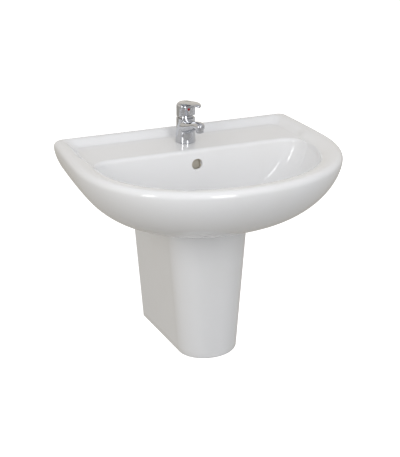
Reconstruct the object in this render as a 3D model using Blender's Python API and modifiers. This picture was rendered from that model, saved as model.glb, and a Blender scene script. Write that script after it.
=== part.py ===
"""Semi-pedestal washbasin with a single-lever mixer tap, push-open waste, bottle trap and wall valves.

Metres, +Z up. The wall is the plane y = 0 and the basin reaches towards -Y. The origin is on the wall face,
midway between the two studs that hold the basin.
"""

import math

import bpy
import bmesh
from mathutils import Matrix, Vector

MM = 0.001

# Overall sizes of the basin
BASIN_WIDTH = 650 * MM
BASIN_BACK_WIDTH = 636 * MM
BASIN_DEPTH = 510 * MM
BASIN_HEIGHT = 168 * MM  # rim to the base that the pedestal meets
RIM_Z = 80 * MM  # rim above the line of the wall studs
SIDE_DEPTH = 208 * MM  # how far the straight sides run from the wall
FRONT_POWER = 2.2  # superellipse power of the bowed front
BACK_CORNER = 14 * MM

# Rim, deck and bowl
RIM_ROLL = 14 * MM  # outer rounding of the rim
BACK_ROLL = 5 * MM  # the same along the wall
RIM_WIDTH = 50 * MM  # at the sides and front
LEDGE_WIDTH = 35 * MM  # at the wall
DECK_DROP = 17 * MM  # deck below the rim
DECK_FRONT = 159 * MM  # front edge of the deck, from the wall
DECK_ROUND = 10 * MM
DECK_THICK = 14 * MM
BOWL_CORNER = 46 * MM
BOWL_SWEEP = 28 * MM  # how far the bowl's back wall leans forward
BOWL_DEPTH = 149 * MM  # rim to the lowest part of the bowl
FLOOR_WIDTH = 208 * MM  # the bowl's floor, which falls to the waste
FLOOR_FRONT = 348 * MM
FLOOR_CORNER = 40 * MM
FLOOR_FALL = 7 * MM
WALL = 13 * MM  # ceramic wall
BASE_WIDTH = 236 * MM
BASE_DEPTH = 298 * MM
SKIRT_P, SKIRT_Q = 1.64, 2.17  # shape of the skirt, from the rim to the base
BOWL_P, BOWL_Q = 1.5, 2.6  # shape of the bowl wall

# Waste hole and overflow
WASTE_Y = -238 * MM
BOSS_WALL = 13 * MM  # ceramic round the waste hole
BOSS_DROP = 31 * MM  # boss below the base
RECESS_ROOM = 2 * MM  # round the flange
RECESS_DEEP = 3 * MM
OVERFLOW_R = 13.5 * MM
OVERFLOW_DROP = 54 * MM  # centre below the rim
DUCT_WIDTH = 34 * MM
DUCT_DEEP = 14 * MM
DUCT_WALL = 9 * MM
DUCT_DROP = 20 * MM  # floor of the duct below the base

# Half pedestal
PEDESTAL_HEIGHT = 360 * MM
PEDESTAL_TOP_BACK = 236 * MM
PEDESTAL_TOP_FRONT = 211 * MM
PEDESTAL_TOP_DEPTH = 286 * MM
PEDESTAL_LOW_BACK = 182 * MM
PEDESTAL_LOW_FRONT = 154 * MM
PEDESTAL_LOW_DEPTH = 285 * MM
PEDESTAL_BOW = 67 * MM  # depth of the bowed front
PEDESTAL_POWER = 2.05
PEDESTAL_WALL = 11 * MM
PEDESTAL_EDGE = 7 * MM  # rounding of the lower edge
LUG_DROP = 85 * MM  # fixing lugs below the top of the pedestal
LUG_WIDTH = 26 * MM
LUG_HEIGHT = 30 * MM
LUG_THICK = 9 * MM

# Fits
GAP = 0.3 * MM  # between faces that meet
RUN = 0.4 * MM  # round a piece that turns or slides
OVER = 9 * MM  # how far a cutter runs past the face that it opens

# Tap, heights above the deck
TAP_Y = -84 * MM
TAP_BASE_R = 25 * MM
TAP_TOP_R = 22.5 * MM
TAP_HOLE_R = 17.5 * MM
TAP_GASKET = 2.5 * MM
TAP_SHOULDER = 62 * MM
SPOUT_REACH = 91 * MM
NOZZLE_FACE = 58 * MM
NOZZLE_R = 12 * MM
AERATOR_R = 9.8 * MM
AERATOR_LONG = 10.5 * MM
AERATOR_LIP = 1.2 * MM  # how far its outer ring stands beyond its thread
AERATOR_SEAT = 9 * MM
CARTRIDGE_R = 17.5 * MM
CARTRIDGE_FLOOR = 26 * MM
CARTRIDGE_NECK_R = 13.4 * MM
NECK_TOP = 66 * MM
ROTOR_R = 9.1 * MM
ROTOR_TOP = 76 * MM
PIVOT_UP = 72 * MM  # lever pivot above the deck
PIN_R = 1.5 * MM
STEM_SIDE = 6.2 * MM
STEM_TOP = 92 * MM
HANDLE_WALL = 2.2 * MM
HANDLE_ROOF = 10 * MM
HANDLE_TOP = 103 * MM
HANDLE_FRONT_EDGE = 70 * MM
HANDLE_BACK_EDGE = 74 * MM
LEVER_REACH = 88 * MM
LEVER_TIP_UP = 114 * MM
SCREW_UP = 87 * MM
SCREW_R = 2.4 * MM
PLUG_DOT_R = 3.1 * MM
TAIL_R = 5 * MM
TAIL_X = 8 * MM
TAIL_BACK = -6 * MM  # tails in front of the tap's axis
TAIL_DEEP = 12 * MM  # how far the tails reach into the body
TAP_STUD_R = 4 * MM
TAP_STUD_BACK = 9 * MM
TAP_STUD_LONG = 62 * MM
TAP_STUD_DEEP = 13 * MM

# Push-open waste
FLANGE_R = 32 * MM
FLANGE_THICK = 2.5 * MM
WASTE_TUBE_R = 20.8 * MM
WASTE_ROOM = 2.2 * MM  # round the tube, in the waste hole
WASTE_TUBE_WALL = 2.3 * MM
WASTE_TUBE_LONG = 80 * MM
PLUG_INSET = 3 * MM  # plug's edge inside the flange's
PLUG_RISE = 9 * MM  # how far the open plug's cap stands above the flange
PLUG_THICK = 4 * MM
PLUG_STEM_R = 4 * MM
CLICKER_R = 7.5 * MM
LOCKNUT_R = 31 * MM
LOCKNUT_LONG = 8 * MM
SEAL_THICK = 1.8 * MM

# Trap, heights below the rim
TRAP_R = 30 * MM
TRAP_TOP = 252 * MM
TRAP_LONG = 92 * MM
TRAP_WALL = 2.5 * MM
TRAP_CUP = 34 * MM
DIP_R = 16 * MM
OUTLET_DROP = 280 * MM
OUTLET_R = 16 * MM
TRAP_ROSETTE_R = 33 * MM

# Wall valves and wall fixings
VALVE_X = 62 * MM
VALVE_DROP = 362 * MM
VALVE_R = 10 * MM
VALVE_LONG = 50 * MM
VALVE_OUTLET_Y = -36 * MM
VALVE_OUTLET_UP = 20 * MM  # mouth of the outlet above the valve's axis
OUTLET_NECK_R = 7.5 * MM
VALVE_ROSETTE_R = 27 * MM
KNOB_R = 11 * MM
KNOB_LONG = 16 * MM
STUD_X = 140 * MM
STUD_R = 5 * MM
STUD_LONG = 62 * MM
STUD_HOLE_R = 9 * MM
LUG_STUD_R = 3 * MM

# Levels that follow from the sizes above
DECK_Z = RIM_Z - DECK_DROP
BASE_Z = RIM_Z - BASIN_HEIGHT
BOWL_Z = RIM_Z - BOWL_DEPTH
BOSS_Z = BASE_Z - BOSS_DROP
PEDESTAL_Z = BASE_Z - GAP
TAP_Z = DECK_Z + 2 * GAP + TAP_GASKET
NOZZLE_Y = TAP_Y - SPOUT_REACH
RECESS_Z = BOWL_Z - RECESS_DEEP
RECESS_R = FLANGE_R + RECESS_ROOM
WASTE_HOLE_R = WASTE_TUBE_R + WASTE_ROOM
BOSS_R = WASTE_HOLE_R + BOSS_WALL
PLUG_R = FLANGE_R - PLUG_INSET

# Points along each stretch of a half outline
BACK_STEPS, CORNER_STEPS, SIDE_STEPS, FRONT_STEPS = 5, 4, 6, 17


def mix(a, b, t):
    return a + (b - a) * t


def clear_scene():
    for obj in list(bpy.data.objects):
        bpy.data.objects.remove(obj, do_unlink=True)


def new_collection(name):
    collection = bpy.data.collections.new(name)
    bpy.context.scene.collection.children.link(collection)
    return collection


clear_scene()
PARTS = new_collection("semi_pedestal_washbasin")
CUTTERS = new_collection("cutters")


def material(name, color, roughness, metallic=0.0):
    made = bpy.data.materials.new(name)
    made.use_nodes = True
    shader = made.node_tree.nodes["Principled BSDF"]
    shader.inputs["Base Color"].default_value = (*color, 1)
    shader.inputs["Roughness"].default_value = roughness
    shader.inputs["Metallic"].default_value = metallic
    return made


CERAMIC = material("glazed_ceramic", (0.86, 0.86, 0.85), 0.08)
CHROME = material("chrome", (0.75, 0.76, 0.78), 0.06, 1.0)
BRASS = material("brass", (0.72, 0.55, 0.28), 0.3, 1.0)
STEEL = material("zinc_steel", (0.6, 0.6, 0.6), 0.35, 1.0)
COPPER = material("copper", (0.72, 0.4, 0.26), 0.3, 1.0)
RUBBER = material("black_rubber", (0.03, 0.03, 0.03), 0.7)
NYLON = material("white_nylon", (0.82, 0.82, 0.8), 0.45)
TRAP_PLASTIC = material("white_plastic", (0.85, 0.85, 0.84), 0.35)
GREY_PLASTIC = material("grey_plastic", (0.35, 0.36, 0.38), 0.5)
RED = material("red_enamel", (0.6, 0.02, 0.03), 0.3)


def place(obj, mat=None, collection=PARTS):
    """Puts an object in the model, or among the cutters when it has no material."""
    if mat is None:
        CUTTERS.objects.link(obj)
        obj.hide_render = True
        obj.display_type = "WIRE"
    else:
        collection.objects.link(obj)
        obj.data.materials.append(mat)
    return obj


def mesh_object(name, build, mat=None):
    """A new object whose mesh is made by build(bm)."""
    mesh = bpy.data.meshes.new(name)
    bm = bmesh.new()
    build(bm)
    bmesh.ops.recalc_face_normals(bm, faces=bm.faces)
    bm.to_mesh(mesh)
    bm.free()
    return place(bpy.data.objects.new(name, mesh), mat)


def smooth(obj, degrees=35):
    obj.data.shade_smooth()
    obj.data.set_sharp_from_angle(angle=math.radians(degrees))
    return obj


def loft(name, rings, mat=None):
    """A closed solid through rings with the same number of points, with flat ends."""

    def build(bm):
        rows = [[bm.verts.new(point) for point in ring] for ring in rings]
        count = len(rows[0])
        for low, high in zip(rows, rows[1:]):
            for i in range(count):
                j = (i + 1) % count
                bm.faces.new((low[i], low[j], high[j], high[i]))
        bm.faces.new(rows[0])
        bm.faces.new(rows[-1])

    return smooth(mesh_object(name, build, mat))


def box(name, low, high, mat=None):
    def build(bm):
        made = bmesh.ops.create_cube(bm, size=1)
        centre = (Vector(low) + Vector(high)) / 2
        size = Vector(high) - Vector(low)
        for vert in made["verts"]:
            vert.co = centre + Vector(a * b for a, b in zip(vert.co, size))

    return mesh_object(name, build, mat)


def rod(name, radius, start, end, mat=None, sides=24):
    """A plain cylinder from one point to another."""
    start, end = Vector(start), Vector(end)
    turn = (end - start).to_track_quat("Z", "Y").to_matrix().to_4x4()
    turn.translation = (start + end) / 2

    def build(bm):
        bmesh.ops.create_cone(
            bm, cap_ends=True, segments=sides, radius1=radius, radius2=radius,
            depth=(end - start).length, matrix=turn,
        )

    return mesh_object(name, build, mat)


def post(name, radius, x, y, low, high, mat=None, sides=24):
    """A plain upright cylinder."""
    return rod(name, radius, (x, y, low), (x, y, high), mat, sides)


def bolt(name, radius, x, z, front, back, mat=None, sides=24):
    """A plain cylinder that runs from front to back."""
    return rod(name, radius, (x, front, z), (x, back, z), mat, sides)


def origin_at(obj, point):
    """Moves an object's origin to the point and leaves its shape where it is."""
    shift = Vector(point) - obj.location
    obj.data.transform(Matrix.Translation(-shift))
    obj.location = point
    return obj


def turned(name, profile, place_at, mat=None, axis="Z", sides=32):
    """A turned piece from a closed line of (radius, height) down the outer side, on Z or towards -Y."""
    mesh = bpy.data.meshes.new(name)
    bm = bmesh.new()
    verts = [bm.verts.new((radius, 0, height)) for radius, height in profile]
    on_axis = profile[0][0] == 0 and profile[-1][0] == 0
    pairs = list(zip(verts, verts[1:]))
    if not on_axis:
        pairs.append((verts[-1], verts[0]))
    for pair in pairs:
        bm.edges.new(pair)
    bm.to_mesh(mesh)
    bm.free()
    obj = place(bpy.data.objects.new(name, mesh), mat)
    obj.location = place_at
    if axis == "-Y":
        obj.rotation_euler = (math.pi / 2, 0, 0)
    screw = obj.modifiers.new("turn", "SCREW")
    screw.axis = "Z"
    screw.steps = screw.render_steps = sides
    screw.use_merge_vertices = True
    screw.merge_threshold = 0.00001
    return obj


def ring_piece(name, inner, outer, low, high, place_at, mat=None, axis="Z", sides=32):
    """A turned ring or tube of rectangular section."""
    profile = [(outer, high), (outer, low), (inner, low), (inner, high)]
    return turned(name, profile, place_at, mat, axis, sides)


def plate(name, outlines, thickness, place_at, mat=None, turn=(0, 0, 0)):
    """A flat piece from 2D outlines, the first one outside, centred on its thickness."""
    curve = bpy.data.curves.new(name, "CURVE")
    curve.dimensions = "2D"
    curve.fill_mode = "BOTH"
    curve.extrude = thickness / 2
    for outline in outlines:
        spline = curve.splines.new("POLY")
        spline.points.add(len(outline) - 1)
        for point, (x, y) in zip(spline.points, outline):
            point.co = (x, y, 0, 1)
        spline.use_cyclic_u = True
    obj = place(bpy.data.objects.new(name, curve), mat)
    obj.location = place_at
    obj.rotation_euler = turn
    return obj


def circle(radius, count=24, centre=(0, 0)):
    angles = [math.tau * i / count for i in range(count)]
    return [(centre[0] + radius * math.cos(a), centre[1] + radius * math.sin(a)) for a in angles]


def hexagon(across_flats):
    return circle(across_flats / math.sqrt(3), 6)


def hex_nut(name, across_flats, bore, height, place_at, mat, turn=(0, 0, 0)):
    return plate(name, [hexagon(across_flats), circle(bore, 20)], height, place_at, mat, turn)


def tube(name, points, radius, mat=None, resolution=2):
    curve = bpy.data.curves.new(name, "CURVE")
    curve.dimensions = "3D"
    curve.bevel_depth = radius
    curve.bevel_resolution = resolution
    curve.use_fill_caps = True
    spline = curve.splines.new("POLY")
    spline.points.add(len(points) - 1)
    for point, co in zip(spline.points, points):
        point.co = (*co, 1)
    return place(bpy.data.objects.new(name, curve), mat)


def as_mesh(curve_object, mat):
    """The curve object turned into a mesh object with welded caps, so that it can be cut."""
    name = curve_object.name
    bpy.context.view_layer.update()
    matrix = curve_object.matrix_world.copy()
    graph = bpy.context.evaluated_depsgraph_get()
    mesh = bpy.data.meshes.new_from_object(curve_object.evaluated_get(graph))
    bm = bmesh.new()
    bm.from_mesh(mesh)
    bmesh.ops.remove_doubles(bm, verts=bm.verts, dist=1e-6)
    bmesh.ops.recalc_face_normals(bm, faces=bm.faces)
    bm.to_mesh(mesh)
    bm.free()
    bpy.data.objects.remove(curve_object)
    mesh.materials.clear()
    obj = place(bpy.data.objects.new(name, mesh), mat)
    obj.matrix_world = matrix
    return obj


def combine(target, other, operation="DIFFERENCE"):
    modifier = target.modifiers.new(operation.lower(), "BOOLEAN")
    modifier.operation = operation
    modifier.object = other
    modifier.solver = "EXACT"
    return target


def bezier(a, b, c, d, count):
    """Points on a cubic curve."""
    a, b, c, d = map(Vector, (a, b, c, d))
    points = []
    for i in range(count + 1):
        t = i / count
        s = 1 - t
        points.append(a * s**3 + b * (3 * s * s * t) + c * (3 * s * t * t) + d * t**3)
    return points


def half_outline(half_width, back_half, back_y, corner, side_y, front_y, power):
    """Right half of a D-shaped plan outline, from the middle of the back to the middle of the front."""
    points = []
    for i in range(BACK_STEPS):
        points.append(((back_half - corner) * i / BACK_STEPS, back_y))
    for i in range(CORNER_STEPS):
        angle = math.pi / 2 * i / CORNER_STEPS
        x = back_half - corner * (1 - math.sin(angle))
        points.append((x, back_y - corner * (1 - math.cos(angle))))
    for i in range(SIDE_STEPS):
        t = i / SIDE_STEPS
        x = mix(back_half, half_width, math.sin(t * math.pi / 2))
        points.append((x, mix(back_y - corner, side_y, t)))
    for i in range(FRONT_STEPS + 1):
        angle = math.pi / 2 * i / FRONT_STEPS
        x = half_width * max(0.0, math.cos(angle)) ** (2 / power)
        points.append((x if i < FRONT_STEPS else 0.0, mix(side_y, front_y, math.sin(angle) ** (2 / power))))
    return points


def ring_at(half, z):
    """The whole outline at one height, from its right half."""
    left = [(-x, y) for x, y in reversed(half[1:-1])]
    return [Vector((x, y, z)) for x, y in half + left]


def mix_ring(a, b, t, z):
    return [Vector((mix(p.x, q.x, t), mix(p.y, q.y, t), z)) for p, q in zip(a, b)]


def under(t, p, q):
    """How far a wall has swept inwards at the share t of its height."""
    return 1 - max(0.0, 1 - t**p) ** (1 / q)


def height_shares(count, p):
    """Shares of the height that spread rings evenly along a swept wall, from 0 to 1."""
    return [math.sin(math.pi / 2 * i / count) ** (2 / p) for i in range(count + 1)]


def body_outline(inset, back_inset=0.0):
    """The basin's own outline, drawn in by inset, and by back_inset along the wall."""
    return half_outline(
        BASIN_WIDTH / 2 - inset, BASIN_BACK_WIDTH / 2 - inset, -back_inset, BACK_CORNER, -SIDE_DEPTH,
        -BASIN_DEPTH + inset, FRONT_POWER,
    )


def skirt_rings(count=13):
    """Outer surface, from the base up to the widest line under the rim."""
    top_z = RIM_Z - RIM_ROLL
    top = ring_at(body_outline(0), top_z)
    half = BASE_WIDTH / 2
    base = ring_at(half_outline(half, half, 0, BACK_CORNER, -BASE_DEPTH * 0.64, -BASE_DEPTH, 2.0), BASE_Z)
    return [
        mix_ring(top, base, under(t, SKIRT_P, SKIRT_Q), mix(top_z, BASE_Z, t))
        for t in reversed(height_shares(count, SKIRT_P))
    ]


def rim_rings():
    """Over the rim and down to the level of the deck."""
    rings = []
    steps = 4
    for i in range(1, steps + 1):
        angle = math.pi / 2 * i / steps
        share = 1 - math.cos(angle)
        outline = body_outline(RIM_ROLL * share, BACK_ROLL * share)
        rings.append(ring_at(outline, RIM_Z - RIM_ROLL * (1 - math.sin(angle))))
    crown = rings[-1]
    recess = recess_ring()
    for i in range(1, 6):
        angle = math.pi / 2 * i / 5
        rings.append(mix_ring(crown, recess, math.sin(angle), RIM_Z - DECK_DROP * (1 - math.cos(angle))))
    return rings


def recess_ring():
    """Where the rim's inner side meets the deck."""
    return ring_at(
        half_outline(
            BASIN_WIDTH / 2 - RIM_WIDTH, BASIN_BACK_WIDTH / 2 - RIM_WIDTH + 4 * MM, -LEDGE_WIDTH, 24 * MM,
            -SIDE_DEPTH, -BASIN_DEPTH + RIM_WIDTH, FRONT_POWER,
        ),
        DECK_Z,
    )


def bowl_outline(back_y):
    """The bowl's edge, which follows the recess at the sides and front and the deck's edge at the back."""
    inset = RIM_WIDTH + 0.4 * MM
    return half_outline(
        BASIN_WIDTH / 2 - inset, BASIN_BACK_WIDTH / 2 - inset + 4 * MM, back_y, BOWL_CORNER,
        -DECK_FRONT - BOWL_CORNER * 1.2, -BASIN_DEPTH + inset, FRONT_POWER,
    )


def bowl_back_y(z):
    """The bowl's back wall at height z, on the middle line."""
    t = min(1.0, max(0.0, (DECK_Z - DECK_ROUND - z) / (DECK_Z - DECK_ROUND - BOWL_Z)))
    return -DECK_FRONT - BOWL_SWEEP * under(t, BOWL_P, BOWL_Q)


def bowl_rings(count=11):
    """The deck's front edge, the bowl's wall and its floor down to the waste recess."""
    rings = []
    edge_z = DECK_Z - 0.5 * MM
    for degrees in (0, 30, 60, 90):
        angle = math.radians(degrees)
        outline = bowl_outline(-DECK_FRONT + DECK_ROUND * (1 - math.sin(angle)))
        rings.append(ring_at(outline, edge_z - DECK_ROUND * (1 - math.cos(angle))))
    edge = rings[-1]
    edge_z -= DECK_ROUND
    half = FLOOR_WIDTH / 2
    back_y = -DECK_FRONT - BOWL_SWEEP
    floor = ring_at(half_outline(half, half, back_y, FLOOR_CORNER, WASTE_Y, -FLOOR_FRONT, 2.0), BOWL_Z)
    floor_z = BOWL_Z + FLOOR_FALL
    for t in height_shares(count, BOWL_P)[1:]:
        rings.append(mix_ring(edge, floor, under(t, BOWL_P, BOWL_Q), mix(edge_z, floor_z, t)))
    drain = drain_ring(RECESS_R + 4 * MM, BOWL_Z)
    rings.append(mix_ring(rings[-1], drain, 0.55, mix(floor_z, BOWL_Z, 0.7)))
    rings.append(drain)
    rings.append(drain_ring(RECESS_R, RECESS_Z))
    return rings


def drain_ring(radius, z):
    """A circle round the waste hole with the points of a half outline."""
    half = half_outline(1.0, 1.0, 1.0, 0.5, -0.2, -1.0, 2.0)
    points = []
    for x, y in half:
        angle = math.atan2(y, x)
        points.append((radius * math.cos(angle), WASTE_Y + radius * math.sin(angle)))
    points[0] = (0.0, WASTE_Y + radius)
    points[-1] = (0.0, WASTE_Y - radius)
    return ring_at(points, z)


def skirt_half_width(z):
    """Half the skirt's width at the wall, at height z."""
    top_z = RIM_Z - RIM_ROLL
    t = min(1.0, max(0.0, (top_z - z) / (top_z - BASE_Z)))
    return mix(BASIN_BACK_WIDTH, BASE_WIDTH, under(t, SKIRT_P, SKIRT_Q)) / 2


def service_cavity():
    """The space behind the bowl, open at the bottom, where the tap is fastened."""
    rings = []
    top = DECK_Z - DECK_THICK
    levels = 8
    for i in range(levels + 1):
        z = mix(top, BASE_Z - 5 * MM, i / levels)
        half = min(skirt_half_width(z) - WALL, skirt_half_width(z - WALL) - 2 * MM)
        half = max(half, BASE_WIDTH / 2 - WALL)
        front = bowl_back_y(max(z, BOWL_Z + 12 * MM)) + WALL
        corner = 10 * MM
        outline = [
            (0, -WALL), (half - corner, -WALL), (half, -WALL - corner),
            (half, front + corner), (half - corner, front), (0, front),
        ]
        rings.append(ring_at(outline, z))
    return loft("cut_service_cavity", rings)


def duct_outline(wall):
    """Side view of the overflow duct, as (y, z): down behind the bowl, then forward to the waste hole."""
    front = bowl_back_y(RIM_Z - OVERFLOW_DROP) + 5 * MM
    back = front + DUCT_DEEP + wall
    low = BASE_Z - DUCT_DROP
    high = low + DUCT_DEEP + wall
    low -= wall
    top = RIM_Z - OVERFLOW_DROP + OVERFLOW_R + 2 * MM + wall
    end = WASTE_Y + WASTE_HOLE_R
    if wall:
        end += 5 * MM
        bend = [(front - wall, high), (front - wall, BOWL_Z + 49 * MM), (front - 1 * MM, BOWL_Z + 69 * MM)]
        return [(back, top), (back, low), (end, low), (end, high), *bend, (front - 1 * MM, top)]
    end -= 8 * MM
    return [(back, top), (back, low), (end, low), (end, high), (front, high), (front, top)]


def side_plate(name, outline, width):
    """A solid whose side view is the outline of (y, z), centred on x = 0."""
    turn = (math.pi / 2, 0, math.pi / 2)
    return as_mesh(plate(name, [outline], width, (0, 0, 0), None, turn), None)


def make_basin():
    basin = loft("basin", skirt_rings() + rim_rings() + bowl_rings(), CERAMIC)
    cavity = service_cavity()
    duct = side_plate("add_duct", duct_outline(DUCT_WALL), DUCT_WIDTH + 2 * DUCT_WALL)
    boss = post("add_boss", BOSS_R, 0, WASTE_Y, BOSS_Z, BASE_Z + 8 * MM, sides=40)
    combine(basin, cavity)
    combine(basin, duct, "UNION")
    combine(basin, boss, "UNION")
    combine(basin, post("cut_waste_hole", WASTE_HOLE_R, 0, WASTE_Y, BOSS_Z - OVER, RECESS_Z + OVER, sides=40))
    combine(basin, side_plate("cut_duct", duct_outline(0), DUCT_WIDTH))
    overflow_z = RIM_Z - OVERFLOW_DROP
    wall_y = bowl_back_y(overflow_z)
    into_duct = wall_y + 5 * MM + DUCT_DEEP / 2
    combine(basin, bolt("cut_overflow", OVERFLOW_R, 0, overflow_z, wall_y - 2 * OVER, into_duct, sides=28))
    underside = DECK_Z - DECK_THICK
    combine(basin, post("cut_tap_hole", TAP_HOLE_R, 0, TAP_Y, underside - OVER, DECK_Z + OVER, sides=32))
    for side, x in (("left", -STUD_X), ("right", STUD_X)):
        combine(basin, bolt("cut_stud_hole_" + side, STUD_HOLE_R, x, 0, -WALL - OVER, OVER))
    return basin


def pedestal_outline(t, inset):
    """The pedestal's plan at the share t of its height, from the top. Inset draws the walls in."""
    back = mix(PEDESTAL_TOP_BACK, PEDESTAL_LOW_BACK, t) / 2 - inset
    front = mix(PEDESTAL_TOP_FRONT, PEDESTAL_LOW_FRONT, t) / 2 - inset
    depth = mix(PEDESTAL_TOP_DEPTH, PEDESTAL_LOW_DEPTH, t) - inset
    side_y = -depth + PEDESTAL_BOW
    points = [(0.0, 0.0), (back / 2, 0.0)]
    steps = 5
    for i in range(steps):
        points.append((mix(back, front, i / steps), mix(0.0, side_y, i / steps)))
    steps = 13
    for i in range(steps + 1):
        angle = math.pi / 2 * i / steps
        x = front * max(0.0, math.cos(angle)) ** (2 / PEDESTAL_POWER)
        y = mix(side_y, -depth, math.sin(angle) ** (2 / PEDESTAL_POWER))
        points.append((x if i < steps else 0.0, y))
    return points


def pedestal_half_width(z):
    """Half the pedestal's width at the wall, at height z."""
    return mix(PEDESTAL_TOP_BACK, PEDESTAL_LOW_BACK, (PEDESTAL_Z - z) / PEDESTAL_HEIGHT) / 2


def make_pedestal():
    bottom = PEDESTAL_Z - PEDESTAL_HEIGHT
    rings = []
    levels = 8
    for i in range(levels + 1):
        t = i / levels * (1 - PEDESTAL_EDGE / PEDESTAL_HEIGHT)
        rings.append(ring_at(pedestal_outline(t, 0), PEDESTAL_Z - PEDESTAL_HEIGHT * t))
    for angle in (30, 60, 90):
        inset = PEDESTAL_EDGE * (1 - math.cos(math.radians(angle)))
        z = bottom + PEDESTAL_EDGE * (1 - math.sin(math.radians(angle)))
        rings.append(ring_at(pedestal_outline(1, inset), z))
    pedestal = loft("half_pedestal", rings, CERAMIC)
    inner = []
    for t in (-0.03, 0.25, 0.5, 0.75, 1 - PEDESTAL_WALL / PEDESTAL_HEIGHT):
        half = pedestal_outline(t, PEDESTAL_WALL)
        half = [(x, 9 * MM if y > -1e-9 else y) for x, y in half]
        inner.append(ring_at(half, PEDESTAL_Z - PEDESTAL_HEIGHT * t))
    combine(pedestal, loft("cut_pedestal_inside", inner))
    lug_z = PEDESTAL_Z - LUG_DROP
    inside = pedestal_half_width(lug_z) - PEDESTAL_WALL
    for side, sign in (("left", -1), ("right", 1)):
        ends = sorted((sign * (inside - LUG_WIDTH), sign * (inside + PEDESTAL_WALL / 2)))
        lug = box(
            "add_lug_" + side, (ends[0], -4 * MM - LUG_THICK, lug_z - LUG_HEIGHT / 2),
            (ends[1], -4 * MM, lug_z + LUG_HEIGHT / 2),
        )
        combine(pedestal, lug, "UNION")
        x = sign * lug_stud_x()
        hole = bolt("cut_lug_" + side, LUG_STUD_R + 1.2 * MM, x, lug_z, -2 * LUG_THICK - OVER, OVER, sides=20)
        combine(pedestal, hole)
    return pedestal


def lug_stud_x():
    return pedestal_half_width(PEDESTAL_Z - LUG_DROP) - PEDESTAL_WALL - LUG_WIDTH * 0.62


def spout_rings():
    """Sections of the spout in mm, as (share of the reach, middle height, half width, half height)."""
    nose = NOZZLE_FACE / MM + 4.5
    sections = (
        (0.07, nose - 21.5, 15, 13), (0.26, nose - 20, 16.5, 16), (0.43, nose - 15, 16, 13.5),
        (0.6, nose - 9.5, 15, 11.8), (0.77, nose - 4.2, 14, 11.2), (0.92, nose - 1, 13.3, 11),
        (1.02, nose, 12.5, 10.2), (1.1, nose - 0.3, 10, 8.2), (1.14, nose - 1.1, 5.5, 4.6),
    )
    rings = []
    count = 28
    for reach, middle, half_width, half_height in sections:
        ring = []
        for i in range(count):
            angle = math.tau * i / count
            x = half_width * math.copysign(abs(math.cos(angle)) ** 0.85, math.cos(angle))
            z = half_height * math.copysign(abs(math.sin(angle)) ** 0.85, math.sin(angle))
            ring.append(Vector((x * MM, TAP_Y - reach * SPOUT_REACH, DECK_Z + (middle + z) * MM)))
        rings.append(ring)
    return rings


def make_tap_body():
    height = DECK_Z + TAP_SHOULDER
    profile = [
        (0, height), (TAP_TOP_R - 1 * MM, height), (TAP_TOP_R, height - 1 * MM),
        (TAP_TOP_R + 0.2 * MM, DECK_Z + 40 * MM), (TAP_BASE_R - 0.6 * MM, DECK_Z + 16 * MM),
        (TAP_BASE_R, TAP_Z + 2 * MM), (TAP_BASE_R - 0.5 * MM, TAP_Z), (0, TAP_Z),
    ]
    body = turned("tap_body", profile, (0, TAP_Y, 0), CHROME, sides=40)
    combine(body, loft("add_spout", spout_rings()), "UNION")
    face = DECK_Z + NOZZLE_FACE
    combine(body, post("add_nozzle", NOZZLE_R, 0, NOZZLE_Y, face, face + 6 * MM, sides=32), "UNION")
    below = 1.6 * NOZZLE_R
    under_nozzle = box(
        "cut_under_nozzle", (-below, NOZZLE_Y - below, face - 2 * below),
        (below, NOZZLE_Y + NOZZLE_R + 1 * MM, face),
    )
    combine(body, under_nozzle)
    bore_r = CARTRIDGE_R + GAP
    bore_z = DECK_Z + CARTRIDGE_FLOOR
    combine(body, post("cut_cartridge_bore", bore_r, 0, TAP_Y, bore_z, height + OVER, sides=36))
    thread_r = AERATOR_R - AERATOR_LIP + GAP
    combine(body, post("cut_aerator_bore", thread_r, 0, NOZZLE_Y, face - OVER, face + AERATOR_SEAT, sides=28))
    waterway = bezier(
        (0, TAP_Y - CARTRIDGE_R + 3 * MM, face - 15 * MM), (0, mix(TAP_Y, NOZZLE_Y, 0.48), face - 9 * MM),
        (0, mix(TAP_Y, NOZZLE_Y, 0.64), face + 1 * MM), (0, NOZZLE_Y + 2 * MM, face + 5.5 * MM), 8,
    )
    combine(body, as_mesh(tube("cut_waterway", waterway, 3.5 * MM), None))
    for side, sign in (("hot", -1), ("cold", 1)):
        x, y = sign * TAIL_X, TAP_Y + TAIL_BACK
        tail_top = TAP_Z + TAIL_DEEP + 1 * MM
        combine(body, post("cut_inlet_" + side, TAIL_R + GAP, x, y, TAP_Z - OVER, tail_top, sides=20))
        port = post("cut_port_" + side, TAIL_R / 2, x, y, tail_top - 4 * MM, bore_z + 4 * MM, sides=12)
        combine(body, port)
    stud_y = TAP_Y + TAP_STUD_BACK
    stud_top = TAP_Z + TAP_STUD_DEEP + 1 * MM
    combine(body, post("cut_tap_stud", TAP_STUD_R + GAP, 0, stud_y, TAP_Z - OVER, stud_top, sides=20))
    return body


def cross_pin(name, radius, half, mat=None):
    """A cylinder along the lever's lift axis."""
    pivot_z = DECK_Z + PIVOT_UP
    return rod(name, radius, (-half, TAP_Y, pivot_z), (half, TAP_Y, pivot_z), mat, 16)


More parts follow.
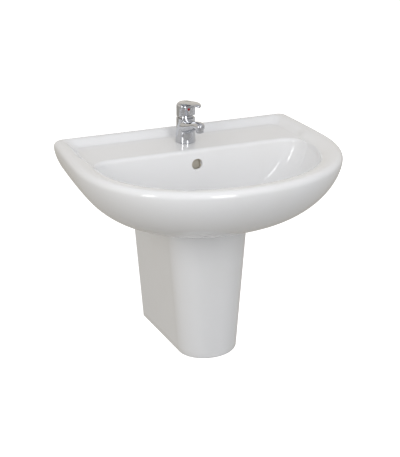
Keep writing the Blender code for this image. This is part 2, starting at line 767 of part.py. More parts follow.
def make_cartridge():
    axis = (0, TAP_Y, DECK_Z)
    body_profile = [
        (CARTRIDGE_NECK_R, NECK_TOP), (CARTRIDGE_NECK_R, 55.7 * MM), (CARTRIDGE_R, 55.7 * MM),
        (CARTRIDGE_R, CARTRIDGE_FLOOR + GAP), (2.5 * MM, CARTRIDGE_FLOOR + GAP), (2.5 * MM, 48 * MM),
        (ROTOR_R + GAP, 48 * MM), (ROTOR_R + GAP, NECK_TOP),
    ]
    turned("cartridge_body", body_profile, axis, GREY_PLASTIC, sides=28)
    nut_r = CARTRIDGE_NECK_R + RUN
    ring_piece("cartridge_nut", nut_r, CARTRIDGE_R, 56 * MM, TAP_SHOULDER - GAP, axis, BRASS, sides=28)
    rotor_profile = [(0, ROTOR_TOP), (ROTOR_R, ROTOR_TOP), (ROTOR_R, 48 * MM + GAP), (0, 48 * MM + GAP)]
    rotor = turned("cartridge_rotor", rotor_profile, axis, NYLON, sides=24)
    half_slot = STEM_SIDE / 2 + GAP
    slot = box(
        "cut_rotor_slot", (-half_slot, TAP_Y - 15 * MM, DECK_Z + 60 * MM),
        (half_slot, TAP_Y + 15 * MM, DECK_Z + ROTOR_TOP + 5 * MM),
    )
    combine(rotor, slot)
    pivot_z = DECK_Z + PIVOT_UP
    combine(rotor, cross_pin("cut_rotor_pin", PIN_R + GAP, 2 * ROTOR_R))
    origin_at(cross_pin("stem_pin", PIN_R, ROTOR_R - 0.8 * MM, STEEL), (0, TAP_Y, pivot_z))
    cap_r = CARTRIDGE_R + 0.9 * MM
    cap_profile = [
        (cap_r - 8 * MM, 73.5 * MM), (cap_r - 5.4 * MM, 73 * MM), (cap_r - 2.8 * MM, 71.2 * MM),
        (cap_r - 0.8 * MM, 68 * MM), (cap_r, 64.5 * MM), (cap_r, TAP_SHOULDER + GAP),
        (cap_r - 1.5 * MM, TAP_SHOULDER + GAP), (cap_r - 1.5 * MM, 64.5 * MM), (cap_r - 2.2 * MM, 67.5 * MM),
        (cap_r - 3.8 * MM, 70 * MM), (cap_r - 5.9 * MM, 71.5 * MM), (cap_r - 8 * MM, 72 * MM),
    ]
    turned("cartridge_cap", cap_profile, axis, CHROME, sides=32)


def lever_rings():
    """Sections of the lever's blade, as (distance, top height, half width, thickness)."""
    tip_up = LEVER_TIP_UP / MM
    reach = LEVER_REACH / MM
    sections = (
        (2, tip_up - 11.2, 19.5, 7), (14, tip_up - 9, 19.5, 7), (30, tip_up - 6.4, 17.5, 6.4),
        (48, tip_up - 3.8, 15.5, 5.6), (64, tip_up - 1.8, 13.6, 4.8), (76, tip_up - 0.7, 11.4, 4.2),
        (reach - 5, tip_up - 0.8, 8.6, 3.8), (reach, tip_up - 2.4, 3.6, 2.4),
    )
    rings = []
    count = 24
    for reach_out, top, half_width, thick in sections:
        ring = []
        for i in range(count):
            angle = math.tau * i / count
            x = half_width * math.copysign(abs(math.cos(angle)) ** 0.75, math.cos(angle))
            z = top - thick / 2 + thick / 2 * math.copysign(abs(math.sin(angle)) ** 0.8, math.sin(angle))
            crown = 1.6 * (1 - (x / half_width) ** 2) if math.sin(angle) > 0 else 0
            ring.append(Vector((x * MM, TAP_Y - reach_out * MM, DECK_Z + (z + crown) * MM)))
        rings.append(ring)
    return rings


def make_lever():
    axis = (0, TAP_Y, DECK_Z)
    low = HANDLE_FRONT_EDGE - 5 * MM
    profile = [
        (0, HANDLE_TOP), (8 * MM, HANDLE_TOP - 0.4 * MM), (15 * MM, HANDLE_TOP - 1.6 * MM),
        (20 * MM, HANDLE_TOP - 4 * MM), (22 * MM, HANDLE_TOP - 7 * MM), (TAP_TOP_R, HANDLE_TOP - 11 * MM),
        (TAP_TOP_R, low), (0, low),
    ]
    lever = turned("lever", profile, axis, CHROME, sides=40)
    combine(lever, loft("add_lever_blade", lever_rings()), "UNION")
    inner_r = TAP_TOP_R - HANDLE_WALL
    ceiling = DECK_Z + HANDLE_TOP - HANDLE_ROOF
    combine(lever, post("cut_lever_inside", inner_r, 0, TAP_Y, DECK_Z + low - OVER, ceiling, sides=36))
    half_boss = 6.5 * MM
    boss = box(
        "add_lever_boss", (-half_boss, TAP_Y - half_boss, DECK_Z + STEM_TOP - 9 * MM),
        (half_boss, TAP_Y + half_boss, DECK_Z + HANDLE_TOP - 6 * MM),
    )
    combine(lever, boss, "UNION")
    half_socket = STEM_SIDE / 2 + GAP
    socket = box(
        "cut_lever_socket", (-half_socket, TAP_Y - half_socket, DECK_Z + STEM_TOP - 19 * MM),
        (half_socket, TAP_Y + half_socket, DECK_Z + STEM_TOP + GAP),
    )
    combine(lever, socket)
    slope = math.atan2(HANDLE_BACK_EDGE - HANDLE_FRONT_EDGE, 2 * TAP_TOP_R)
    trim = box("cut_lever_edge", (-40 * MM, -40 * MM, -30 * MM), (40 * MM, 40 * MM, 0))
    trim.location = (0, TAP_Y, DECK_Z + (HANDLE_BACK_EDGE + HANDLE_FRONT_EDGE) / 2)
    trim.rotation_euler = (slope, 0, 0)
    combine(lever, trim)
    screw_z = DECK_Z + SCREW_UP
    front = TAP_Y - TAP_TOP_R
    screw_start = TAP_Y - STEM_SIDE / 2 - GAP
    combine(lever, bolt("cut_lever_screw", SCREW_R + GAP, 0, screw_z, front - OVER, TAP_Y - 2 * MM, sides=16))
    seat_y = front + 1.4 * MM
    combine(lever, bolt("cut_lever_plug", PLUG_DOT_R + GAP, 0, screw_z, front - OVER, seat_y, sides=16))
    screw = bolt("lever_screw", SCREW_R, 0, screw_z, screw_start - 9 * MM, screw_start, STEEL, 16)
    dot = bolt("lever_plug", PLUG_DOT_R, 0, screw_z, front - 0.5 * MM, front + 1.1 * MM, RED, 20)
    half_stem = STEM_SIDE / 2
    stem = box(
        "lever_stem", (-half_stem, TAP_Y - half_stem, DECK_Z + PIVOT_UP - 10 * MM),
        (half_stem, TAP_Y + half_stem, DECK_Z + STEM_TOP), STEEL,
    )
    combine(stem, cross_pin("cut_stem_pin", PIN_R + GAP, STEM_SIDE))
    for piece in (lever, screw, dot, stem):
        origin_at(piece, (0, TAP_Y, DECK_Z + PIVOT_UP))


def make_aerator():
    axis = (0, NOZZLE_Y, DECK_Z + NOZZLE_FACE)
    thread_r = AERATOR_R - AERATOR_LIP
    inner = thread_r - 1.4 * MM
    low = -AERATOR_LONG
    lip = low + 1 * MM
    housing_profile = [
        (thread_r, 6 * MM), (thread_r, -GAP), (AERATOR_R, -GAP), (AERATOR_R, lip), (AERATOR_R - 1 * MM, low),
        (inner - 1 * MM, low), (inner - 1 * MM, lip), (inner, lip), (inner, 6 * MM),
    ]
    turned("aerator_housing", housing_profile, axis, CHROME, sides=32)
    insert_r = inner - GAP
    insert_profile = [(0, 4 * MM), (insert_r, 4 * MM), (insert_r, lip + GAP), (0, lip + GAP)]
    turned("aerator_insert", insert_profile, axis, GREY_PLASTIC, sides=24)
    ring_piece("aerator_seal", 6 * MM, thread_r, 6 * MM + GAP, 8 * MM, axis, RUBBER, sides=24)


def make_tap_fixings():
    seat = (0, TAP_Y, DECK_Z)
    ring_piece("tap_gasket", TAP_HOLE_R + 1 * MM, TAP_BASE_R - 1 * MM, GAP, GAP + TAP_GASKET, seat, RUBBER)
    stud_y = TAP_Y + TAP_STUD_BACK
    top = TAP_Z + TAP_STUD_DEEP
    post("tap_stud", TAP_STUD_R, 0, stud_y, top - TAP_STUD_LONG, top, STEEL, 20)
    outer = 23 * MM
    notch = TAIL_X + TAIL_R + 1.5 * MM
    start = math.asin(notch / outer) - math.pi / 2
    arc = [
        (outer * math.cos(angle), outer * math.sin(angle))
        for angle in (mix(start, math.pi - start, i / 22) for i in range(23))
    ]
    horseshoe = arc + [(-notch, 0), (notch, 0)]
    hole = circle(TAP_STUD_R + GAP, 20, (0, TAP_STUD_BACK))
    z = DECK_Z - DECK_THICK - GAP
    plate("horseshoe_seal", [horseshoe, hole], 3 * MM, (0, TAP_Y, z - 1.5 * MM), RUBBER)
    z -= 3 * MM + GAP
    plate("horseshoe_plate", [horseshoe, hole], 2.5 * MM, (0, TAP_Y, z - 1.25 * MM), STEEL)
    z -= 2.5 * MM + GAP
    hex_nut("tap_nut", 13 * MM, TAP_STUD_R + GAP, 11 * MM, (0, stud_y, z - 5.5 * MM), BRASS)


def tail_points(sign):
    """The supply tail's middle line, from the tap down to its valve."""
    start = Vector((sign * TAIL_X, TAP_Y + TAIL_BACK, TAP_Z + TAIL_DEEP))
    neck = start + Vector((0, 0, -70 * MM))
    end = Vector((sign * VALVE_X, VALVE_OUTLET_Y, RIM_Z - VALVE_DROP + VALVE_OUTLET_UP - 7 * MM))
    foot = end + Vector((0, 0, 55 * MM))
    curve = bezier(neck, neck + Vector((0, 0, -80 * MM)), foot + Vector((0, 0, 80 * MM)), foot, 12)
    return [start, *curve, end]


def make_tails_and_valves():
    for side, sign in (("hot", -1), ("cold", 1)):
        tube(side + "_tail", tail_points(sign), TAIL_R, COPPER)
        x = sign * VALVE_X
        z = RIM_Z - VALVE_DROP
        valve = turned(
            side + "_valve",
            [
                (0, VALVE_LONG), (VALVE_R - 2 * MM, VALVE_LONG), (VALVE_R, VALVE_LONG - 2 * MM),
                (VALVE_R, 16 * MM), (VALVE_R - 1.5 * MM, 12 * MM), (VALVE_R - 1.5 * MM, 0), (0, 0),
            ],
            (x, 0, z), CHROME, "-Y", 24,
        )
        mouth = z + VALVE_OUTLET_UP
        outlet = post("add_outlet_" + side, OUTLET_NECK_R, x, VALVE_OUTLET_Y, z, mouth, sides=20)
        low = mouth - 8 * MM
        socket = post("cut_outlet_" + side, TAIL_R + GAP, x, VALVE_OUTLET_Y, low, mouth + OVER, sides=20)
        combine(valve, outlet, "UNION")
        combine(valve, socket)
        nut_at = (x, VALVE_OUTLET_Y, mouth + GAP + 4.5 * MM)
        hex_nut(side + "_tail_nut", 17 * MM, TAIL_R + GAP, 9 * MM, nut_at, CHROME)
        rosette = [
            (VALVE_R - 1.5 * MM + GAP, 7 * MM), (15 * MM, 7 * MM), (VALVE_ROSETTE_R - 3 * MM, 4 * MM),
            (VALVE_ROSETTE_R, 0), (VALVE_R - 1.5 * MM + GAP, 0),
        ]
        turned(side + "_valve_rosette", rosette, (x, 0, z), CHROME, "-Y", 28)
        knob_start = VALVE_LONG + GAP
        knob = turned(
            side + "_valve_knob",
            [
                (0, knob_start + KNOB_LONG), (KNOB_R - 2 * MM, knob_start + KNOB_LONG),
                (KNOB_R, knob_start + KNOB_LONG - 2 * MM), (KNOB_R, knob_start + 2 * MM),
                (KNOB_R - 2 * MM, knob_start), (0, knob_start),
            ],
            (x, 0, z), CHROME, "-Y", 24,
        )
        wing = box(
            "add_wing_" + side, (x - 3 * MM, -knob_start - KNOB_LONG + 1 * MM, z),
            (x + 3 * MM, -knob_start - 5 * MM, z + 20 * MM),
        )
        combine(knob, wing, "UNION")


def make_waste():
    top = RECESS_Z
    axis = (0, WASTE_Y, top)
    ring_piece("waste_top_seal", WASTE_HOLE_R - 1 * MM, FLANGE_R - 1 * MM, GAP, 1.7 * MM, axis, RUBBER)
    seat = 1.7 * MM + GAP
    flange_top = seat + FLANGE_THICK
    inner = WASTE_TUBE_R - WASTE_TUBE_WALL
    flange_profile = [
        (inner, flange_top - 1 * MM), (inner + 4 * MM, flange_top), (FLANGE_R - 3 * MM, flange_top),
        (FLANGE_R, seat + 0.6 * MM), (FLANGE_R, seat), (WASTE_TUBE_R, seat), (WASTE_TUBE_R, -WASTE_TUBE_LONG),
        (inner, -WASTE_TUBE_LONG),
    ]
    flange = turned("waste_flange", flange_profile, axis, CHROME, sides=36)
    duct_low = BASE_Z - DUCT_DROP
    across = 2 * WASTE_TUBE_R
    window = box(
        "cut_overflow_window", (-8 * MM, WASTE_Y - across, duct_low),
        (8 * MM, WASTE_Y + across, duct_low + DUCT_DEEP),
    )
    combine(flange, window)
    guide_z = duct_low - 12 * MM
    hub_top = guide_z + 5 * MM
    reach = inner + 1 * MM
    bar = box("add_guide_bar", (-reach, WASTE_Y - 3.5 * MM, guide_z), (reach, WASTE_Y + 3.5 * MM, hub_top))
    hub = post("add_guide_hub", CLICKER_R + 3 * MM, 0, WASTE_Y, guide_z - 3 * MM, hub_top)
    hole = post("cut_guide_hole", CLICKER_R + GAP, 0, WASTE_Y, guide_z - OVER, hub_top + OVER)
    combine(flange, bar, "UNION")
    combine(flange, hub, "UNION")
    combine(flange, hole)
    boss_z = BOSS_Z - GAP
    foot = (0, WASTE_Y, 0)
    ring_piece("waste_bottom_seal", WASTE_TUBE_R + GAP, LOCKNUT_R, boss_z - 5 * MM, boss_z, foot, RUBBER)
    nut_top = boss_z - 5 * MM - GAP
    outlines = [circle(LOCKNUT_R, 8), circle(WASTE_TUBE_R + GAP, 32)]
    plate("waste_locknut", outlines, LOCKNUT_LONG, (0, WASTE_Y, nut_top - LOCKNUT_LONG / 2), BRASS)
    plug_low = top + flange_top + PLUG_RISE
    stem_end = guide_z - 8 * MM
    cap_profile = [
        (0, PLUG_THICK), (12 * MM, PLUG_THICK - 0.3 * MM), (22 * MM, PLUG_THICK - 1 * MM),
        (PLUG_R - 1 * MM, PLUG_THICK - 2.2 * MM), (PLUG_R, PLUG_THICK - 3.2 * MM), (PLUG_R - 0.5 * MM, 0),
        (0, 0),
    ]
    turned("plug_cap", cap_profile, (0, WASTE_Y, plug_low), CHROME, sides=36)
    seal_top = plug_low - GAP
    collar_r = CLICKER_R
    seal_low = seal_top - SEAL_THICK
    ring_piece("plug_seal", collar_r + RUN, inner + 3.5 * MM, seal_low, seal_top, foot, RUBBER)
    collar_low = seal_top - 4 * MM
    stem_profile = [
        (0, seal_top), (collar_r, seal_top), (collar_r, collar_low), (PLUG_STEM_R, collar_low),
        (PLUG_STEM_R, stem_end), (0, stem_end),
    ]
    turned("plug_stem", stem_profile, foot, BRASS, sides=20)
    bore_r = PLUG_STEM_R + RUN
    bore_end = stem_end - PLUG_RISE - 3 * MM
    lip_r = CLICKER_R + 2 * MM
    clicker_profile = [
        (0, bore_end), (bore_r, bore_end), (bore_r, hub_top + 4 * MM), (lip_r, hub_top + 4 * MM),
        (lip_r, hub_top + GAP), (CLICKER_R, hub_top + GAP), (CLICKER_R, bore_end - 2 * MM),
        (0, bore_end - 2 * MM),
    ]
    turned("clicker_body", clicker_profile, foot, BRASS, sides=24)


def make_trap():
    axis = (0, WASTE_Y, RIM_Z)
    tube_end = RECESS_Z - WASTE_TUBE_LONG - RIM_Z
    inner = TRAP_R - TRAP_WALL
    nut_r = WASTE_TUBE_R + 6.2 * MM
    nut_profile = [
        (WASTE_TUBE_R + GAP, tube_end + 9 * MM), (nut_r - 1 * MM, tube_end + 9 * MM),
        (nut_r, tube_end + 7 * MM), (nut_r, tube_end - 13 * MM), (WASTE_TUBE_R + GAP, tube_end - 13 * MM),
    ]
    turned("trap_inlet_nut", nut_profile, axis, TRAP_PLASTIC, sides=32)
    joint_r = WASTE_TUBE_R - GAP
    seal_low = tube_end - 2.5 * MM
    ring_piece("trap_inlet_seal", DIP_R, joint_r, seal_low, tube_end - GAP, axis, RUBBER, sides=24)
    dip_top = seal_low - GAP
    dip_low = -TRAP_TOP - TRAP_LONG + 16 * MM
    lip_low = dip_top - 2.4 * MM
    bore_r = DIP_R - 2 * MM
    dip_profile = [
        (joint_r, dip_top), (joint_r, lip_low), (DIP_R, lip_low), (DIP_R, dip_low), (bore_r, dip_low),
        (bore_r, dip_top),
    ]
    turned("trap_dip_tube", dip_profile, axis, TRAP_PLASTIC, sides=24)
    top = -TRAP_TOP
    collar_top = lip_low - GAP
    body_low = top - TRAP_LONG + TRAP_CUP
    body_profile = [
        (joint_r, collar_top), (joint_r, top + 4 * MM), (TRAP_R - 4 * MM, top + 1 * MM),
        (TRAP_R, top - 4 * MM), (TRAP_R, body_low), (inner, body_low), (inner, top - 6 * MM),
        (DIP_R + GAP, top - 2 * MM), (DIP_R + GAP, collar_top),
    ]
    trap = turned("trap_body", body_profile, axis, TRAP_PLASTIC, sides=32)
    outlet_z = RIM_Z - OUTLET_DROP
    port_end = WASTE_Y + TRAP_R + 24 * MM
    port_r = OUTLET_R + 3 * MM
    port = bolt("add_trap_port", port_r, 0, outlet_z, WASTE_Y + inner - 4 * MM, port_end, sides=28)
    combine(trap, port, "UNION")
    inside_top = RIM_Z + top - 6 * MM
    combine(trap, post("cut_trap_inside", inner, 0, WASTE_Y, RIM_Z + body_low - OVER, inside_top, sides=32))
    start = WASTE_Y + DIP_R + 3 * MM
    combine(trap, bolt("cut_trap_port", OUTLET_R + GAP, 0, outlet_z, start, port_end + OVER, sides=28))
    cup_top = body_low - GAP
    low = top - TRAP_LONG
    cup_profile = [
        (0, low + 3 * MM), (inner - 8 * MM, low + 3 * MM), (inner - 3 * MM, low + 8 * MM),
        (inner, cup_top - 10 * MM), (inner, cup_top), (TRAP_R + 2 * MM, cup_top),
        (TRAP_R + 2 * MM, cup_top - 10 * MM), (TRAP_R - 1 * MM, cup_top - 14 * MM),
        (TRAP_R - 4 * MM, low + 5 * MM), (TRAP_R - 9 * MM, low), (0, low),
    ]
    turned("trap_cup", cup_profile, axis, TRAP_PLASTIC, sides=32)
    pipe_start = WASTE_Y + TRAP_R + 3 * MM
    pipe_profile = [
        (OUTLET_R, -pipe_start), (OUTLET_R, 0), (OUTLET_R - 1.8 * MM, 0), (OUTLET_R - 1.8 * MM, -pipe_start)
    ]
    turned("trap_outlet_pipe", pipe_profile, (0, 0, outlet_z), TRAP_PLASTIC, "-Y", 28)
    mouth = -port_end
    nut_r = port_r + 5 * MM
    edge_r = nut_r - 1 * MM
    start, end = mouth + 8 * MM, mouth - 6 * MM
    outlet_nut = [
        (port_r + GAP, start), (edge_r, start), (nut_r, start - 2 * MM), (nut_r, end + 1 * MM), (edge_r, end),
        (OUTLET_R + GAP, end), (OUTLET_R + GAP, mouth - GAP), (port_r + GAP, mouth - GAP),
    ]
    turned("trap_outlet_nut", outlet_nut, (0, 0, outlet_z), TRAP_PLASTIC, "-Y", 32)
    rosette = [
        (OUTLET_R + GAP, 9 * MM), (OUTLET_R + 4 * MM, 9 * MM), (TRAP_ROSETTE_R - 3 * MM, 4 * MM),
        (TRAP_ROSETTE_R, 0), (OUTLET_R + GAP, 0),
    ]
    turned("trap_rosette", rosette, (0, 0, outlet_z), CHROME, "-Y", 32)


def make_wall_fixings():
    facing = (math.pi / 2, 0, 0)
    for side, x in (("left", -STUD_X), ("right", STUD_X)):
        rod("wall_stud_" + side, STUD_R, (x, -STUD_LONG, 0), (x, 0, 0), STEEL, sides=20)
        flange = WALL + GAP
        sleeve = [
            (STUD_R + GAP, flange + 2.5 * MM), (14 * MM, flange + 2.5 * MM), (14 * MM, flange),
            (STUD_HOLE_R - GAP, flange), (STUD_HOLE_R - GAP, 1 * MM), (STUD_R + GAP, 1 * MM),
        ]
        turned("stud_sleeve_" + side, sleeve, (x, 0, 0), NYLON, "-Y", 24)
        washer = flange + 2.5 * MM + GAP
        ring_piece(
            "stud_washer_" + side, STUD_R + GAP, 11 * MM, washer, washer + 2 * MM, (x, 0, 0), STEEL, "-Y", 24
        )
        nut_y = -(washer + 2 * MM + GAP + 4 * MM)
        hex_nut("stud_nut_" + side, 17 * MM, STUD_R + GAP, 8 * MM, (x, nut_y, 0), STEEL, facing)
    lug_z = PEDESTAL_Z - LUG_DROP
    for side, x in (("left", -lug_stud_x()), ("right", lug_stud_x())):
        rod("pedestal_stud_" + side, LUG_STUD_R, (x, -32 * MM, lug_z), (x, 0, lug_z), STEEL, sides=16)
        nut_y = -(4 * MM + LUG_THICK + GAP + 3 * MM)
        hex_nut("pedestal_nut_" + side, 10 * MM, LUG_STUD_R + GAP, 6 * MM, (x, nut_y, lug_z), NYLON, facing)


make_basin()
make_pedestal()
make_tap_body()
make_cartridge()
make_lever()
make_aerator()
make_tap_fixings()
make_tails_and_valves()
make_waste()
make_trap()
make_wall_fixings()
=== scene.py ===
import math

import bmesh
import bpy
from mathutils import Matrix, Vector


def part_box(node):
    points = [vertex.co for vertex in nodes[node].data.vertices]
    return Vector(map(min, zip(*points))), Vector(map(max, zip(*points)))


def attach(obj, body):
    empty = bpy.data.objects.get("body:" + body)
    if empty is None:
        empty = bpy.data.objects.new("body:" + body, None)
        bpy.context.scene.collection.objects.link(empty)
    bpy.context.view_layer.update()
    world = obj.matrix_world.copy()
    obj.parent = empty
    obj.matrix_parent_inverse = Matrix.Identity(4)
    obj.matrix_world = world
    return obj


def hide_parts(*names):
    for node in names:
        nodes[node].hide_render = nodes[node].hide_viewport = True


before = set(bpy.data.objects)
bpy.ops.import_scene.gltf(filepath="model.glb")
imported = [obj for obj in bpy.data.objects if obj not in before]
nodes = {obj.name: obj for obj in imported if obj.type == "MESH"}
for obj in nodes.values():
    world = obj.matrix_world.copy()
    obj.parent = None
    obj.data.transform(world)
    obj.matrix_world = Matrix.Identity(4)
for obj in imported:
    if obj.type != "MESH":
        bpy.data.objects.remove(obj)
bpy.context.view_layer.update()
mm = 0.001  # every length below is in millimetres, meshes are scaled on the way in
past = 9  # how far a cutter stands past the piece it cuts
fit = 0.3  # play between neighbours


def mixed(a, b, t):
    return a + (b - a) * t


def towards(azimuth, elevation):
    # direction from the object, azimuth 0 is straight in front
    turn, rise = math.radians(azimuth), math.radians(elevation)
    return Vector((math.sin(turn) * math.cos(rise), -math.cos(turn) * math.cos(rise), math.sin(rise)))


def smoothShare(value, low, high):
    t = min(1.0, max(0.0, (value - low) / (high - low)))
    return t * t * (3 - 2 * t)


# where the camera stands: angles in degrees, the rest in millimetres
shot = {
    "target": (-9.44, -200, -127.3),
    "azimuth": -22.68,
    "elevation": 22.24,
    "distance": 2641.8,
    "lens": 84.5,
    "sensor": 36,
}


def makeCamera():
    data = bpy.data.cameras.new("studioCamera")
    data.lens = shot["lens"]
    data.sensor_width = shot["sensor"]
    camera = bpy.data.objects.new("studioCamera", data)
    bpy.context.scene.collection.objects.link(camera)
    back = towards(shot["azimuth"], shot["elevation"])
    camera.location = (Vector(shot["target"]) + back * shot["distance"]) * mm
    camera.rotation_euler = back.to_track_quat("Z", "Y").to_euler()
    bpy.context.scene.camera = camera


makeCamera()
print("camera placed")


class Wire:
    # an output socket; arithmetic on it adds Math nodes

    def __init__(self, board, socket):
        self.board = board
        self.socket = socket

    def math(self, operation, *others):
        return self.board.add("ShaderNodeMath", {"operation": operation}, dict(enumerate((self, *others))))

    def __add__(self, other):
        return self.math("ADD", other)

    __radd__ = __add__

    def __mul__(self, other):
        return self.math("MULTIPLY", other)

    __rmul__ = __mul__

    def __sub__(self, other):
        return self.math("SUBTRACT", other)

    def __rsub__(self, other):
        return self.board.add("ShaderNodeMath", {"operation": "SUBTRACT"}, {0: other, 1: self})

    def step(self, low, high):
        # 0 below low, 1 above high, smooth between
        inputs = {"Value": self, "From Min": low, "From Max": high}
        return self.board.add("ShaderNodeMapRange", {"interpolation_type": "SMOOTHSTEP"}, inputs)


class Board:
    # a node tree to which nodes are added one by one

    def __init__(self, tree):
        self.tree = tree

    def add(self, kind, settings=None, inputs=None, output=0):
        node = self.tree.nodes.new(kind)
        for key, value in (settings or {}).items():
            setattr(node, key, value)
        for key, value in (inputs or {}).items():
            self.set(node, key, value)
        return Wire(self, node.outputs[output])

    def set(self, node, key, value):
        # a wire is linked, anything else becomes the socket's own value
        socket = node.inputs[key]
        if isinstance(value, Wire):
            self.tree.links.new(value.socket, socket)
        else:
            socket.default_value = (*value, 1) if socket.type == "RGBA" else value

    def feed(self, key, value):
        self.set(self.shader, key, value)

    def bump(self, height, strength, distance):
        inputs = {"Height": height, "Strength": strength, "Distance": distance}
        self.feed("Normal", self.add("ShaderNodeBump", None, inputs))

    def place(self, name="Object"):
        return self.add("ShaderNodeTexCoord", output=name)

    def noise(self, scale, detail=3.0, roughness=0.5, at=None):
        inputs = {"Vector": at or self.place(), "Scale": scale, "Detail": detail, "Roughness": roughness}
        return self.add("ShaderNodeTexNoise", None, inputs)

    def stretched(self, scale):
        # object coordinates scaled unevenly, for wipe marks and turning lines
        return self.add("ShaderNodeVectorMath", {"operation": "MULTIPLY"}, {0: self.place(), 1: scale})

    def colour(self, a, b, factor):
        # the Mix node keeps one set of sockets per data type, so they are reached by number
        return self.add("ShaderNodeMix", {"data_type": "RGBA"}, {0: factor, 6: a, 7: b}, 2)


finishes = {}


def newFinish(name, roughness, metallic=0.0, **fixed):
    made = bpy.data.materials.new(name)
    made.use_nodes = True
    finishes[name] = made
    board = Board(made.node_tree)
    board.shader = made.node_tree.nodes["Principled BSDF"]
    for key, value in {"Roughness": roughness, "Metallic": metallic, **fixed}.items():
        board.feed(key, value)
    return board


glaze = {
    "white": (0.852, 0.856, 0.862), "thin": (0.825, 0.822, 0.812), "speck": (0.55, 0.5, 0.43),
    "roughness": (0.03, 0.085), "ripple": 0.07, "peel": 0.012,
}


def makeGlaze():
    board = newFinish("glazedChina", 0.08, IOR=1.54)
    cloud = board.noise(7, 4, 0.55)
    tint = board.colour(glaze["white"], glaze["thin"], cloud.step(0.45, 0.8) * 0.5)
    cells = board.add("ShaderNodeTexVoronoi", None, {"Vector": board.place(), "Scale": 110})
    chosen = board.noise(31, 1).step(0.66, 0.72)
    specks = (1 - cells.step(0.03, 0.07)) * chosen * 0.35
    board.feed("Base Color", board.colour(tint, glaze["speck"], specks))
    wipes = board.noise(1, 5, 0.6, board.stretched((22, 9, 5)))
    low, high = glaze["roughness"]
    board.feed("Roughness", wipes.step(0.35, 0.75) * (high - low) + low)
    ripple = board.noise(16, 2, 0.4) * glaze["ripple"] + board.noise(210, 2, 0.5) * glaze["peel"]
    board.bump(ripple, 0.35, 0.004)


def makeClay(name, light, dark):
    board = newFinish(name, 0.8)
    cloud = board.noise(14, 5, 0.6)
    grain = board.noise(420, 3, 0.7)
    tint = board.colour(dark, light, cloud)
    board.feed("Base Color", board.colour(tint, (0.56, 0.5, 0.42), grain.step(0.6, 0.8) * 0.5))
    board.feed("Roughness", grain * 0.2 + 0.68)
    board.bump(grain + cloud * 1.5, 0.5, 0.0006)


chrome = {"light": (0.62, 0.63, 0.655), "dark": (0.55, 0.56, 0.59)}


def makeChrome():
    board = newFinish("polishedChrome", 0.05, 1.0)
    smear = board.noise(1, 4, 0.55, board.stretched((60, 60, 18)))
    haze = board.noise(45, 3)
    tint = board.colour(chrome["light"], chrome["dark"], smear.step(0.4, 0.75))
    board.feed("Base Color", tint)
    board.feed("Roughness", smear.step(0.45, 0.8) * 0.05 + haze * 0.03 + 0.018)
    board.bump(board.noise(70, 2), 0.04, 0.0006)


def makeMetal(name, light, dark, rough, grain, lines=(900, 900, 900), strength=0.25):
    # a bare or plated metal: two tints in patches, fine marks that change the gloss
    board = newFinish(name, rough, 1.0)
    patch = board.noise(grain, 5, 0.62)
    marks = board.noise(1, 3, 0.6, board.stretched(lines))
    board.feed("Base Color", board.colour(light, dark, patch.step(0.38, 0.72)))
    board.feed("Roughness", patch.step(0.3, 0.8) * 0.22 + marks * 0.12 + rough - 0.12)
    board.bump(marks, strength, 0.0003)


zinc = {"cool": (0.60, 0.62, 0.65), "warm": (0.68, 0.67, 0.60), "stain": (0.42, 0.40, 0.36)}


def makeZinc():
    board = newFinish("zincPlate", 0.35, 1.0)
    cells = board.add("ShaderNodeTexVoronoi", None, {"Vector": board.place(), "Scale": 330}, 1)
    spangle = board.add("ShaderNodeSeparateColor", None, {0: cells})
    stain = board.noise(90, 4, 0.6)
    tint = board.colour(zinc["cool"], zinc["warm"], spangle)
    board.feed("Base Color", board.colour(tint, zinc["stain"], stain.step(0.55, 0.8) * 0.6))
    board.feed("Roughness", spangle * 0.18 + stain * 0.12 + 0.24)
    board.bump(stain, 0.2, 0.0003)


copper = {"bright": (0.83, 0.45, 0.30), "tarnish": (0.42, 0.21, 0.13), "spot": (0.22, 0.36, 0.30)}


def makeCopper():
    board = newFinish("copperTube", 0.3, 1.0)
    tarnish = board.noise(38, 5, 0.62)
    spots = board.noise(150, 3, 0.6)
    tint = board.colour(copper["bright"], copper["tarnish"], tarnish.step(0.42, 0.75))
    board.feed("Base Color", board.colour(tint, copper["spot"], spots.step(0.7, 0.8) * 0.6))
    board.feed("Metallic", 1 - spots.step(0.7, 0.8) * 0.8)
    board.feed("Roughness", tarnish * 0.4 + 0.12)
    board.bump(board.noise(1, 3, 0.5, board.stretched((60, 60, 700))), 0.15, 0.0002)


def makePlastic(name, light, dark, rough, flow=(18, 18, 60), grain=600, strength=0.2, **fixed):
    # moulded plastic, rubber or nylon: flow marks in the colour and a fine skin
    board = newFinish(name, rough, 0.0, **fixed)
    streak = board.noise(1, 4, 0.5, board.stretched(flow))
    pores = board.noise(grain, 3, 0.6)
    board.feed("Base Color", board.colour(light, dark, streak.step(0.3, 0.8)))
    board.feed("Roughness", pores * 0.16 + streak * 0.1 + rough - 0.13)
    board.bump(pores, strength, 0.0003)


